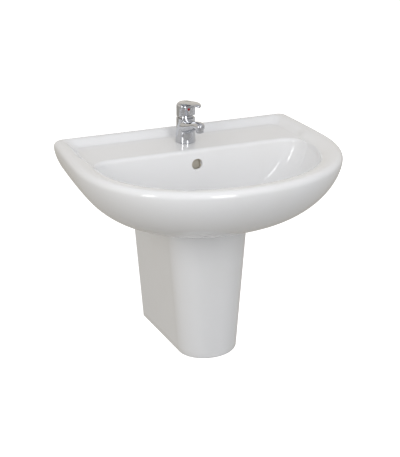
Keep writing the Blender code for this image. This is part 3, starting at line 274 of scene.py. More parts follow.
makeGlaze()
makeClay("bareClay", (0.80, 0.765, 0.70), (0.70, 0.655, 0.585))
# a darker copy of the bare clay for inside the overflow duct: painted shade in the recess
makeClay("ductShadeClay", (0.74, 0.70, 0.62), (0.6, 0.56, 0.48))
makeChrome()
makeZinc()
makeCopper()
makeMetal("turnedBrass", (0.76, 0.58, 0.29), (0.52, 0.36, 0.16), 0.34, 60, (500, 500, 2600))
makePlastic("blackRubber", (0.022, 0.022, 0.023), (0.05, 0.049, 0.047), 0.62, (90, 90, 90), 500, 0.35)
makePlastic("naturalNylon", (0.80, 0.79, 0.74), (0.72, 0.70, 0.63), 0.42)
makePlastic("trapPlastic", (0.83, 0.83, 0.815), (0.77, 0.77, 0.74), 0.33, (12, 12, 40))
makePlastic("greyPlastic", (0.30, 0.31, 0.33), (0.22, 0.23, 0.25), 0.45)
makePlastic("redEnamel", (0.42, 0.01, 0.014), (0.3, 0.007, 0.01), 0.2, (300, 300, 300), 900, 0.05)
print("finishes made:", len(finishes))


def newPiece(name, build, finish):
    mesh = bpy.data.meshes.new(name)
    bm = bmesh.new()
    build(bm)
    bmesh.ops.recalc_face_normals(bm, faces=bm.faces)
    bmesh.ops.scale(bm, vec=(mm, mm, mm), verts=bm.verts)
    bm.to_mesh(mesh)
    bm.free()
    mesh.materials.append(finishes[finish])
    obj = bpy.data.objects.new(name, mesh)
    bpy.context.scene.collection.objects.link(obj)
    return obj


def shade(obj, degrees=35):
    obj.data.shade_smooth()
    obj.data.set_sharp_from_angle(angle=math.radians(degrees))
    return obj


def settle(obj):
    # the modifiers become part of the mesh
    bpy.context.view_layer.update()
    graph = bpy.context.evaluated_depsgraph_get()
    before = obj.data
    obj.data = bpy.data.meshes.new_from_object(obj.evaluated_get(graph))
    obj.modifiers.clear()
    bpy.data.meshes.remove(before)
    return obj


def carve(obj, tool, operation="DIFFERENCE"):
    modifier = obj.modifiers.new("carve", "BOOLEAN")
    modifier.operation = operation
    modifier.solver = "MANIFOLD"
    modifier.object = tool
    modifier.material_mode = "TRANSFER"
    settle(obj)
    mesh = tool.data
    bpy.data.objects.remove(tool)
    bpy.data.meshes.remove(mesh)
    return obj


def weld(obj, tool):
    return carve(obj, tool, "UNION")


def skin(rings, closed=False):
    # faces between rings; closed joins the last ring to the first, otherwise both ends are filled
    def build(bm):
        rows = [[bm.verts.new(point) for point in ring] for ring in rings]
        pairs = list(zip(rows, rows[1:]))
        if closed:
            pairs.append((rows[-1], rows[0]))
        count = len(rows[0])
        for low, high in pairs:
            for i in range(count):
                j = (i + 1) % count
                bm.faces.new((low[i], low[j], high[j], high[i]))
        if not closed:
            bm.faces.new(rows[0])
            bm.faces.new(rows[-1])

    return build


def loft(name, rings, finish):
    return shade(newPiece(name, skin(rings), finish))


def block(name, low, high, finish, bevel=0.0):
    def build(bm):
        made = bmesh.ops.create_cube(bm, size=1)
        middle = (Vector(low) + Vector(high)) / 2
        size = Vector(high) - Vector(low)
        for vert in made["verts"]:
            vert.co = middle + Vector(a * b for a, b in zip(vert.co, size))
        if bevel:
            bmesh.ops.bevel(bm, geom=bm.edges[:], offset=bevel, segments=3, profile=0.5, affect="EDGES")

    return shade(newPiece(name, build, finish), 50)


def rounded(corners, closed, steps=4):
    # (radius, height, rounding) corners turned into a line with rounded corners
    line = []
    for i, corner in enumerate(corners):
        here = Vector(corner[:2])
        radius = corner[2] if len(corner) > 2 else 0
        if not radius or (not closed and i in (0, len(corners) - 1)):
            line.append(here)
            continue
        back = Vector(corners[i - 1][:2]) - here
        ahead = Vector(corners[(i + 1) % len(corners)][:2]) - here
        reach = radius / math.tan(back.angle(ahead) / 2)
        reach = min(reach, back.length * 0.48, ahead.length * 0.48)
        start, end = here + back.normalized() * reach, here + ahead.normalized() * reach
        for k in range(steps + 1):
            t = k / steps
            line.append(start * (1 - t) ** 2 + here * 2 * t * (1 - t) + end * t * t)
    return line


def divided(line, closed, longest):
    points = []
    pairs = list(zip(line, line[1:])) + ([(line[-1], line[0])] if closed else [])
    for a, b in pairs:
        count = max(1, math.ceil((b - a).length / longest))
        points += [a.lerp(b, k / count) for k in range(count)]
    return points if closed else points + [line[-1]]


def threaded(pitch, depth, low, high, least):
    # a helical thread on radii of at least least
    def relief(angle, radius, height):
        if radius < least or not low < height < high:
            return 0
        turn = (height / pitch - angle / math.tau) % 1
        fade = min(1, (height - low) / pitch, (high - height) / pitch)
        return -depth * fade * abs(2 * turn - 1)

    return relief


def fluted(count, depth, low, high, least, power=1.0):
    # grooves along a grip
    def relief(angle, radius, height):
        if radius < least or not low < height < high:
            return 0
        fade = min(1, (height - low) / 1.2, (high - height) / 1.2)
        return -depth * fade * (0.5 + 0.5 * math.cos(count * angle)) ** power

    return relief


def onAxis(centre, axis, radius, angle, height):
    # a point round a centre; an axis named wall runs out from the wall, where height is the way out
    x, y = radius * math.cos(angle), radius * math.sin(angle)
    return centre + (Vector((x, y, height)) if axis == "up" else Vector((x, -height, y)))


def lathe(name, profile, at, finish, axis="up", sides=72, relief=None, longest=None, smooth=35):
    # a turned piece from (radius, height, rounding) down its outer side, upright or out from the wall
    closed = profile[0][0] > 0
    line = rounded(profile, closed)
    if longest:
        line = divided(line, closed, longest)
    centre = Vector(at)

    def spot(radius, height, angle):
        if relief and radius > 0:
            radius += relief(angle, radius, height)
        return onAxis(centre, axis, radius, angle, height)

    def build(bm):
        rows = []
        for radius, height in line:
            if radius < 1e-6:
                rows.append([bm.verts.new(spot(0, height, 0))])
            else:
                ring = [spot(radius, height, math.tau * i / sides) for i in range(sides)]
                rows.append([bm.verts.new(point) for point in ring])
        pairs = list(zip(rows, rows[1:])) + ([(rows[-1], rows[0])] if closed else [])
        for a, b in pairs:
            for i in range(sides):
                j = (i + 1) % sides
                corners = [a[i], a[j], b[j], b[i]] if len(a) > 1 and len(b) > 1 else (
                    [a[0], b[j], b[i]] if len(b) > 1 else [a[i], a[j], b[0]])
                bm.faces.new(corners)

    return shade(newPiece(name, build, finish), smooth)


def pin(name, radius, low, high, at, finish, axis="up", sides=48, bevel=0.0):
    profile = [(0, high), (radius, high, bevel), (radius, low, bevel), (0, low)]
    return lathe(name, profile, at, finish, axis, sides)


def nut(name, flats, bore, height, at, finish, axis="up", corners=6):
    # a nut with chamfered corners and bore
    sides = corners * 12
    centre = Vector(at)

    def outer(angle):
        part = math.tau / corners
        return flats / 2 / math.cos((angle % part) - part / 2)

    def ring(radiusAt, level):
        angles = [math.tau * i / sides for i in range(sides)]
        return [onAxis(centre, axis, radiusAt(angle), angle, level) for angle in angles]

    least = flats / 2 * 0.95
    half = height / 2
    rings = [ring(lambda a: bore, -half + 0.6), ring(lambda a: bore + 0.6, -half)]
    levels = [0, 0.35, 0.7, 1.1, 1.6]
    for drop in levels:
        rings.append(ring(lambda a, d=drop: min(outer(a), least + d * 1.7), -half + drop))
    for drop in reversed(levels):
        rings.append(ring(lambda a, d=drop: min(outer(a), least + d * 1.7), half - drop))
    rings += [ring(lambda a: bore + 0.6, half), ring(lambda a: bore, half - 0.6)]
    return shade(newPiece(name, skin(rings, closed=True), finish), 28)


def bezier(a, b, c, d, count):
    a, b, c, d = map(Vector, (a, b, c, d))
    points = []
    for i in range(count + 1):
        t = i / count
        points.append(a * (1 - t) ** 3 + b * 3 * t * (1 - t) ** 2 + c * 3 * t * t * (1 - t) + d * t**3)
    return points


def pipe(name, points, radius, finish, sides=24):
    # a round tube along points, without twist
    points = [Vector(p) for p in points]
    rings = []
    across = Vector((1, 0, 0))
    for i, point in enumerate(points):
        ahead = (points[min(i + 1, len(points) - 1)] - points[max(i - 1, 0)]).normalized()
        across = (across - ahead * across.dot(ahead)).normalized()
        other = ahead.cross(across)
        angles = [math.tau * k / sides for k in range(sides)]
        rings.append([point + (across * math.cos(a) + other * math.sin(a)) * radius for a in angles])
    return loft(name, rings, finish)


def softened(obj, voxel, rounds, factor=0.5):
    # one even skin over joined shapes, with their creases smoothed out
    remesh = obj.modifiers.new("remesh", "REMESH")
    remesh.mode = "VOXEL"
    remesh.voxel_size = voxel * mm
    smooth = obj.modifiers.new("smooth", "SMOOTH")
    smooth.factor = factor
    smooth.iterations = rounds
    return settle(obj)


def stands(obj, replaced, body="root"):
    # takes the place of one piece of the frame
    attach(obj, body)
    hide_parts(replaced)


# the basin: y is minus the way out from the wall, z is counted from the wall studs
basin = {
    "width": 650, "backWidth": 636, "depth": 510, "rim": 80, "base": -88, "sideDepth": 208, "power": 2.2,
    "backCorner": 14, "rimRoll": 14, "backRoll": 5, "rimWidth": 50, "ledge": 35, "deckDrop": 17,
    "deckFront": 159, "deckRound": 10, "deckThick": 14, "bowlCorner": 46, "bowlSweep": 28, "bowlZ": -69,
    "floorWidth": 208, "floorFront": 348, "floorCorner": 40, "floorFall": 7, "wall": 13,
    "baseWidth": 236, "baseDepth": 298, "skirt": (1.64, 2.17), "bowl": (1.5, 2.6),
    "wasteY": -238, "wasteHole": 23, "boss": 36, "bossZ": -119, "recess": 34, "recessZ": -72,
    "overflow": 13.5, "overflowZ": 26, "ductWidth": 34, "ductDeep": 14, "ductWall": 9, "ductDrop": 20,
    "tapY": -84, "tapHole": 17.5, "studX": 140, "studHole": 9,
    "backSteps": 9, "cornerSteps": 10, "sideSteps": 14, "frontSteps": 46,
}
deckZ = basin["rim"] - basin["deckDrop"]


def halfOutline(halfWidth, backHalf, backY, corner, sideY, frontY, power):
    # right half of a D-shaped plan, from the middle of the back to the middle of the front
    points = []
    for i in range(basin["backSteps"]):
        points.append(((backHalf - corner) * i / basin["backSteps"], backY))
    for i in range(basin["cornerSteps"]):
        angle = math.pi / 2 * i / basin["cornerSteps"]
        points.append((backHalf - corner * (1 - math.sin(angle)), backY - corner * (1 - math.cos(angle))))
    for i in range(basin["sideSteps"]):
        t = i / basin["sideSteps"]
        x = mixed(backHalf, halfWidth, math.sin(t * math.pi / 2))
        points.append((x, mixed(backY - corner, sideY, t)))
    for i in range(basin["frontSteps"] + 1):
        angle = math.pi / 2 * i / basin["frontSteps"]
        x = halfWidth * max(0.0, math.cos(angle)) ** (2 / power)
        y = mixed(sideY, frontY, math.sin(angle) ** (2 / power))
        points.append((x if i < basin["frontSteps"] else 0.0, y))
    return points


def wholeRing(half, z):
    left = [(-x, y) for x, y in reversed(half[1:-1])]
    return [Vector((x, y, z)) for x, y in half + left]


def mixedRing(a, b, t, z):
    return [Vector((mixed(p.x, q.x, t), mixed(p.y, q.y, t), z)) for p, q in zip(a, b)]


def sweptIn(t, p, q):
    return 1 - max(0.0, 1 - t**p) ** (1 / q)


def heightShares(count, p):
    return [math.sin(math.pi / 2 * i / count) ** (2 / p) for i in range(count + 1)]


def bodyOutline(inset, backInset=0.0):
    half, back = basin["width"] / 2 - inset, basin["backWidth"] / 2 - inset
    front, sideY = -basin["depth"] + inset, -basin["sideDepth"]
    return halfOutline(half, back, -backInset, basin["backCorner"], sideY, front, basin["power"])


def skirtRings(count=34):
    topZ = basin["rim"] - basin["rimRoll"]
    top = wholeRing(bodyOutline(0), topZ)
    half, deep = basin["baseWidth"] / 2, basin["baseDepth"]
    outline = halfOutline(half, half, 0, basin["backCorner"], -deep * 0.64, -deep, 2.0)
    base = wholeRing(outline, basin["base"])
    p, q = basin["skirt"]
    shares = reversed(heightShares(count, p))
    return [mixedRing(top, base, sweptIn(t, p, q), mixed(topZ, basin["base"], t)) for t in shares]


def rimRings():
    rings = []
    steps = 10
    for i in range(1, steps + 1):
        angle = math.pi / 2 * i / steps
        share = 1 - math.cos(angle)
        outline = bodyOutline(basin["rimRoll"] * share, basin["backRoll"] * share)
        rings.append(wholeRing(outline, basin["rim"] - basin["rimRoll"] * (1 - math.sin(angle))))
    crown = rings[-1]
    inset = basin["rimWidth"]
    recess = wholeRing(
        halfOutline(
            basin["width"] / 2 - inset, basin["backWidth"] / 2 - inset + 4, -basin["ledge"], 24,
            -basin["sideDepth"], -basin["depth"] + inset, basin["power"],
        ),
        deckZ,
    )
    steps = 18
    for i in range(1, steps + 1):
        t = i / steps
        angle = math.pi / 2 * t
        # beside the deck the rim runs out in a cove, round the bowl it turns straight down
        cove = 0.5 - 0.5 * math.cos(math.pi * t**1.45)
        ring = []
        for p, q in zip(crown, recess):
            beside = smoothShare(q.y, -basin["deckFront"] - 22, -basin["deckFront"] + 16)
            share = mixed(math.sin(angle), t, beside)
            fall = mixed(1 - math.cos(angle), cove, beside)
            point = p.lerp(q, share)
            point.z = basin["rim"] - basin["deckDrop"] * fall
            ring.append(point)
        rings.append(ring)
    return rings


def bowlOutline(backY):
    inset = basin["rimWidth"] + 0.4
    return halfOutline(
        basin["width"] / 2 - inset, basin["backWidth"] / 2 - inset + 4, backY, basin["bowlCorner"],
        -basin["deckFront"] - basin["bowlCorner"] * 1.2, -basin["depth"] + inset, basin["power"],
    )


def bowlBackY(z):
    top = deckZ - basin["deckRound"]
    t = min(1.0, max(0.0, (top - z) / (top - basin["bowlZ"])))
    return -basin["deckFront"] - basin["bowlSweep"] * sweptIn(t, *basin["bowl"])


def drainRing(radius, z):
    half = halfOutline(1.0, 1.0, 1.0, 0.5, -0.2, -1.0, 2.0)
    points = []
    for x, y in half:
        angle = math.atan2(y, x)
        points.append((radius * math.cos(angle), basin["wasteY"] + radius * math.sin(angle)))
    points[0] = (0.0, basin["wasteY"] + radius)
    points[-1] = (0.0, basin["wasteY"] - radius)
    return wholeRing(points, z)


def bowlRings(count=32):
    rings = []
    edgeZ = deckZ - 0.3
    for i in range(9):
        angle = math.pi / 2 * i / 8
        outline = bowlOutline(-basin["deckFront"] + basin["deckRound"] * (1 - math.sin(angle)))
        rings.append(wholeRing(outline, edgeZ - basin["deckRound"] * (1 - math.cos(angle))))
    edge = rings[-1]
    edgeZ -= basin["deckRound"]
    half = basin["floorWidth"] / 2
    backY, frontY = -basin["deckFront"] - basin["bowlSweep"], -basin["floorFront"]
    outline = halfOutline(half, half, backY, basin["floorCorner"], basin["wasteY"], frontY, 2.0)
    floor = wholeRing(outline, basin["bowlZ"])
    floorZ = basin["bowlZ"] + basin["floorFall"]
    p, q = basin["bowl"]
    for t in heightShares(count, p)[1:]:
        rings.append(mixedRing(edge, floor, sweptIn(t, p, q), mixed(edgeZ, floorZ, t)))
    drain = drainRing(basin["recess"] + 4, basin["bowlZ"])
    last = rings[-1]
    for t in (0.12, 0.25, 0.4, 0.55, 0.7, 0.85):
        rings.append(mixedRing(last, drain, t, mixed(floorZ, basin["bowlZ"], math.sin(t * math.pi / 2))))
    rings.append(drain)
    for t in (0.35, 0.7, 1.0):
        drop = 1 - math.cos(t * math.pi / 2)
        radius = basin["recess"] + 4 * (1 - math.sin(t * math.pi / 2))
        rings.append(drainRing(radius, mixed(basin["bowlZ"], basin["recessZ"], drop)))
    return rings


def skirtHalf(z):
    topZ = basin["rim"] - basin["rimRoll"]
    t = min(1.0, max(0.0, (topZ - z) / (topZ - basin["base"])))
    return mixed(basin["backWidth"], basin["baseWidth"], sweptIn(t, *basin["skirt"])) / 2


def serviceSpace():
    # the open space behind the bowl
    rings = []
    top = deckZ - basin["deckThick"]
    levels = 26
    for i in range(levels + 1):
        z = mixed(top, basin["base"] - 5, i / levels)
        half = min(skirtHalf(z) - basin["wall"], skirtHalf(z - basin["wall"]) - 2)
        half = max(half, basin["baseWidth"] / 2 - basin["wall"])
        front = bowlBackY(max(z, basin["bowlZ"] + 12)) + basin["wall"]
        back = -basin["wall"]
        outline = [(0, back)]
        for k in range(7):
            angle = math.pi / 2 * k / 6
            outline.append((half - 12 * (1 - math.sin(angle)), back - 12 * (1 - math.cos(angle))))
        for k in range(7):
            angle = math.pi / 2 * k / 6
            outline.append((half - 12 * (1 - math.cos(angle)), front + 12 * (1 - math.sin(angle))))
        outline.append((0, front))
        rings.append(wholeRing(outline, z))
    return loft("serviceSpace", rings, "bareClay")


def ductOutline(wall):
    front = bowlBackY(basin["overflowZ"]) + 5
    back = front + basin["ductDeep"] + wall
    low = basin["base"] - basin["ductDrop"]
    high = low + basin["ductDeep"] + wall
    low -= wall
    top = basin["overflowZ"] + basin["overflow"] + 2 + wall
    end = basin["wasteY"] + basin["wasteHole"]
    if wall:
        end += 5
        bend = [(front - wall, high), (front - wall, basin["bowlZ"] + 49), (front - 1, basin["bowlZ"] + 69)]
        return [(back, top), (back, low), (end, low), (end, high), *bend, (front - 1, top)]
    end -= 8
    return [(back, top), (back, low), (end, low), (end, high), (front, high), (front, top)]


def sideSlab(name, outline, width, finish, bevel=0.0):
    rings = [[Vector((x, y, z)) for y, z in outline] for x in (-width / 2, width / 2)]
    obj = loft(name, rings, finish)
    if bevel:
        modifier = obj.modifiers.new("bevel", "BEVEL")
        modifier.width = bevel * mm
        modifier.segments = 3
        modifier.limit_method = "ANGLE"
        settle(obj)
    return obj


def unglazed(obj, isBare):
    # faces that touch the wall or the other china are left as bare clay
    names = [m.name for m in obj.data.materials]
    if "bareClay" not in names:
        obj.data.materials.append(finishes["bareClay"])
        names.append("bareClay")
    clay = names.index("bareClay")
    for face in obj.data.polygons:
        if isBare(face.center, face.normal):
            face.material_index = clay


def againstWall(centre, normal):
    return normal.y > 0.9 and centre.y > -0.001


def makeBasin():
    obj = loft("washbasin", skirtRings() + rimRings() + bowlRings(), "glazedChina")
    foot = (0, basin["wasteY"], 0)
    carve(obj, serviceSpace())
    width, wall = basin["ductWidth"], basin["ductWall"]
    weld(obj, sideSlab("duct", ductOutline(wall), width + 2 * wall, "bareClay", 5))
    weld(obj, pin("boss", basin["boss"], basin["bossZ"], basin["base"] + 8, foot, "bareClay", bevel=3))
    low, high = basin["bossZ"] - past, basin["recessZ"] + past
    carve(obj, pin("wasteHole", basin["wasteHole"], low, high, foot, "glazedChina"))
    # the duct's inside takes the darker clay, painted shade in the recess
    carve(obj, sideSlab("ductSpace", ductOutline(0), width - 8, "ductShadeClay"))
    out, r = -bowlBackY(basin["overflowZ"]), basin["overflow"]
    # the overflow's mouth is softly rounded
    deep, mouth = out - 12, out + 20
    profile = [(0, mouth), (r + 3, mouth), (r + 3, out + 3.2), (r, out - 1, 3), (r, deep), (0, deep)]
    cutter = lathe("overflowHole", profile, (0, 0, basin["overflowZ"]), "glazedChina", "wall")
    carve(obj, cutter)
    under = deckZ - basin["deckThick"]
    carve(obj, pin("tapHole", basin["tapHole"], under - past, deckZ + past, (0, basin["tapY"], 0), "bareClay"))
    deep = basin["wall"] + past
    for x in (-basin["studX"], basin["studX"]):
        carve(obj, pin("studHole", basin["studHole"], -past, deep, (x, 0, 0), "bareClay", "wall"))
    shade(obj, 40)
    unglazed(obj, againstWall)
    unglazed(obj, lambda centre, normal: normal.z < -0.9 and centre.z < basin["base"] * mm + 0.001)
    stands(obj, "basin")


# the half pedestal, an open shell that hangs under the basin
pedestal = {
    "top": -88.3, "height": 360, "topBack": 236, "topFront": 211, "topDepth": 286,
    "lowBack": 182, "lowFront": 154, "lowDepth": 285, "bow": 67, "power": 2.05, "wall": 11, "edge": 7,
    "lugDrop": 85, "lugWidth": 26, "lugHeight": 30, "lugThick": 9, "stud": 3,
}


def pedestalOutline(t, inset, steps=34):
    back = mixed(pedestal["topBack"], pedestal["lowBack"], t) / 2 - inset
    front = mixed(pedestal["topFront"], pedestal["lowFront"], t) / 2 - inset
    depth = mixed(pedestal["topDepth"], pedestal["lowDepth"], t) - inset
    sideY = -depth + pedestal["bow"]
    points = [(back * i / 4, 0.0) for i in range(4)]
    for i in range(12):
        points.append((mixed(back, front, i / 12), mixed(0.0, sideY, i / 12)))
    for i in range(steps + 1):
        angle = math.pi / 2 * i / steps
        x = front * max(0.0, math.cos(angle)) ** (2 / pedestal["power"])
        y = mixed(sideY, -depth, math.sin(angle) ** (2 / pedestal["power"]))
        points.append((x if i < steps else 0.0, y))
    return points


def pedestalHalf(z):
    share = (pedestal["top"] - z) / pedestal["height"]
    return mixed(pedestal["topBack"], pedestal["lowBack"], share) / 2


def makePedestal():
    top, height, edge = pedestal["top"], pedestal["height"], pedestal["edge"]
    bottom = top - height
    rings = []
    for angle in (90, 60, 30):
        inset = 1.5 * (1 - math.cos(math.radians(angle)))
        rings.append(wholeRing(pedestalOutline(0, inset), top - 1.5 * (1 - math.sin(math.radians(angle)))))
    levels = 24
    for i in range(levels + 1):
        t = mixed(1.5 / height, 1 - edge / height, i / levels)
        rings.append(wholeRing(pedestalOutline(t, 0), top - height * t))
    for angle in range(10, 91, 10):
        inset = edge * (1 - math.cos(math.radians(angle)))
        z = bottom + edge * (1 - math.sin(math.radians(angle)))
        rings.append(wholeRing(pedestalOutline(1, inset), z))
    obj = loft("halfPedestal", rings, "glazedChina")
    inner = []
    for t in (-0.03, 0.25, 0.5, 0.75, 1 - pedestal["wall"] / height):
        half = [(x, 9 if y > -1e-9 else y) for x, y in pedestalOutline(t, pedestal["wall"])]
        inner.append(wholeRing(half, top - height * t))
    carve(obj, loft("inside", inner, "bareClay"))
    lugZ = top - pedestal["lugDrop"]
    inside = pedestalHalf(lugZ) - pedestal["wall"]
    for sign in (-1, 1):
        ends = sorted((sign * (inside - pedestal["lugWidth"]), sign * (inside + pedestal["wall"] / 2)))
        low = (ends[0], -4 - pedestal["lugThick"], lugZ - pedestal["lugHeight"] / 2)
        weld(obj, block("lug", low, (ends[1], -4, lugZ + pedestal["lugHeight"] / 2), "bareClay", 2))
        x = sign * lugStudX()
        carve(obj, pin("lugHole", pedestal["stud"] + 1.2, -past, 30, (x, 0, lugZ), "bareClay", "wall"))
    shade(obj, 40)
    unglazed(obj, againstWall)
    unglazed(obj, lambda centre, normal: normal.z > 0.9 and centre.z > (top - 0.1) * mm)
    stands(obj, "half_pedestal")


def lugStudX():
    inside = pedestalHalf(pedestal["top"] - pedestal["lugDrop"]) - pedestal["wall"]
    return inside - pedestal["lugWidth"] * 0.62


makeBasin()
makePedestal()
print("china made")


# the mixer tap: deck and base are its levels, the other heights are counted from the deck
tap = {
    "y": basin["tapY"], "deck": deckZ, "base": deckZ + 3.1, "baseRadius": 25, "topRadius": 22.5, "shoulder": 62,
    "reach": 91, "face": 58, "nozzle": 12, "cartridge": 17.5, "cartridgeFloor": 26,
    "aerator": 9.8, "aeratorLong": 10.5, "aeratorLip": 1.2, "aeratorSeat": 9,
    "tail": 5, "tailX": 8, "tailBack": -6, "tailDeep": 12,
    "stud": 4, "studBack": 9, "studDeep": 13, "studLong": 62, "stemSide": 6.2, "stemTop": 92,
    # spout sections: share of the reach, middle height, half width, half height
    "spout": (
        (-0.1, 42.0, 20.8, 15.0), (0.06, 41.5, 21.8, 16.0), (0.17, 42.4, 20.8, 16.4),
        (0.28, 43.6, 19.2, 15.8), (0.43, 47.8, 17.2, 13.6), (0.6, 53.0, 15.4, 11.9),
        (0.77, 58.2, 13.6, 11.2), (0.92, 61.4, 12.5, 10.8), (1.02, 62.4, 11.7, 10.0),
        (1.1, 62.1, 9.4, 8.0), (1.14, 61.3, 5.2, 4.5),
    ),
}
tapAxis = (0, tap["y"], tap["deck"])
nozzleY = tap["y"] - tap["reach"]


def overSections(sections, steps):
    # a smooth run of values through the sections
    out = []
    for i in range(len(sections) - 1):
        p0 = sections[max(i - 1, 0)]
        p1, p2 = sections[i], sections[i + 1]
        p3 = sections[min(i + 2, len(sections) - 1)]
        for k in range(steps):
            t = k / steps
            values = []
            for a, b, c, d in zip(p0, p1, p2, p3):
                bend, twist = 2 * a - 5 * b + 4 * c - d, 3 * b - a - 3 * c + d
                values.append(0.5 * (2 * b + (c - a) * t + bend * t * t + twist * t**3))
            out.append(tuple(values))
    return out + [sections[-1]]


def superRing(halfWidth, halfHeight, count, powers, place):
    # a ring round a section, from an ellipse at powers of 1 to a box at 0
    ring = []
    for i in range(count):
        angle = math.tau * i / count
        x = halfWidth * math.copysign(abs(math.cos(angle)) ** powers[0], math.cos(angle))
        z = halfHeight * math.copysign(abs(math.sin(angle)) ** powers[1], math.sin(angle))
        ring.append(place(x, z))
    return ring


def squared(obj, power, fromZ, toZ, back=1.0):
    # turns a round column into a D: fuller in front, a little slimmer at the back
    for vertex in obj.data.vertices:
        x, y, z = (vertex.co.x, vertex.co.y - tap["y"] * mm, vertex.co.z)
        radius = math.hypot(x, y)
        if radius < 1e-6:
            continue
        if y < 0:
            factor = (abs(x / radius) ** power + abs(y / radius) ** power) ** (-1 / power)
        else:
            factor = mixed(1.0, back, smoothShare(y / radius, 0, 1))
        factor = mixed(1.0, factor, smoothShare(z, (tap["deck"] + fromZ) * mm, (tap["deck"] + toZ) * mm))
        vertex.co.x = x * factor
        vertex.co.y = y * factor + tap["y"] * mm
    return obj


def makeTapBody():
    base, shoulder = tap["base"] - tap["deck"], tap["shoulder"]
    top, foot = tap["topRadius"], tap["baseRadius"]
    # drawn past both ends, which are cut flat after the smoothing
    high, low = shoulder + 8, -8
    profile = [
        (0, high), (top, high), (top + 0.2, 40), (foot - 0.6, 16), (foot, 4), (foot, low), (0, low),
    ]
    body = squared(lathe("tapBody", profile, tapAxis, "polishedChrome", sides=96, longest=4), 2.6, 20, 50)
    rings = []
    for share, middle, halfWidth, halfHeight in overSections(tap["spout"], 4):
        y = tap["y"] - share * tap["reach"]
        ring = superRing(
            halfWidth, halfHeight, 48, (0.88, 0.88),
            lambda x, z, y=y, m=middle: Vector((x, y, tap["deck"] + m + z)),
        )
        rings.append(ring)
    weld(body, loft("spout", rings, "polishedChrome"))
    face = tap["face"]
    nozzleAt = (0, nozzleY, tap["deck"])
    weld(body, pin("nozzleRoot", tap["nozzle"], face - 8, face + 6, nozzleAt, "polishedChrome"))
    softened(body, 0.7, 9)
    deck = tap["deck"]
    low, high = (-40, tap["y"] - 30, deck + shoulder), (40, tap["y"] + 60, deck + 120)
    carve(body, block("cutTop", low, high, "polishedChrome"))
    carve(body, block("cutFoot", (-60, -400, deck - 20), (60, 60, deck + 0.4), "polishedChrome"))
    carve(body, pin("gasketSeat", foot - 0.85, -past, base, tapAxis, "turnedBrass", sides=96))
    side = 1.6 * tap["nozzle"]
    low, high = (-side, nozzleY - side, deck), (side, nozzleY + 14, deck + face)
    carve(body, block("cutNozzle", low, high, "polishedChrome"))
    bore = tap["cartridge"] + fit
    carve(body, pin("cartridgeBore", bore, tap["cartridgeFloor"], shoulder + 20, tapAxis, "turnedBrass"))
    thread = tap["aerator"] - tap["aeratorLip"] + fit
    carve(body, pin("aeratorBore", thread, face - past, face + tap["aeratorSeat"], nozzleAt, "turnedBrass"))
    low, high = tap["base"] - past, tap["base"] + tap["tailDeep"] + 1
    for sign in (-1, 1):
        at = (sign * tap["tailX"], tap["y"] + tap["tailBack"], 0)
        carve(body, pin("inlet", tap["tail"] + fit, low, high, at, "turnedBrass", sides=32))
    at, high = (0, tap["y"] + tap["studBack"], 0), tap["base"] + tap["studDeep"] + 1
    carve(body, pin("studBore", tap["stud"] + fit, low, high, at, "turnedBrass", sides=32))
    shade(body, 38)
    stands(body, "tap_body")


lever = {
    "wall": 2.2, "roof": 10, "top": 102.6, "low": 55, "boss": 6.5, "screwUp": 87, "screw": 2.4, "dot": 3.1,
    # lower edge, from the back to the front
    "edge": (
        (40, 30), (40, 75.5), (22.5, 74.5), (17, 71.5), (12, 69), (7, 67.5), (1, 66.8),
        (-4, 67.1), (-9, 68), (-14, 69.3), (-18, 70.3), (-22.5, 71), (-40, 71), (-40, 30),
    ),
    # blade sections: reach, top height, half width, thickness
    "blade": (
        (-4, 100.6, 19.0, 6.5), (8, 102.4, 20.2, 5.8), (20, 105.0, 19.8, 5.2), (34, 107.9, 17.9, 4.6),
        (48, 110.3, 15.7, 4.2), (62, 112.0, 13.4, 3.9), (73, 112.8, 11.0, 3.8), (80, 112.6, 8.8, 3.8),
        (84, 111.8, 6.9, 3.8), (87, 110.4, 4.4, 3.2), (88, 109.2, 2.4, 1.8),
    ),
}


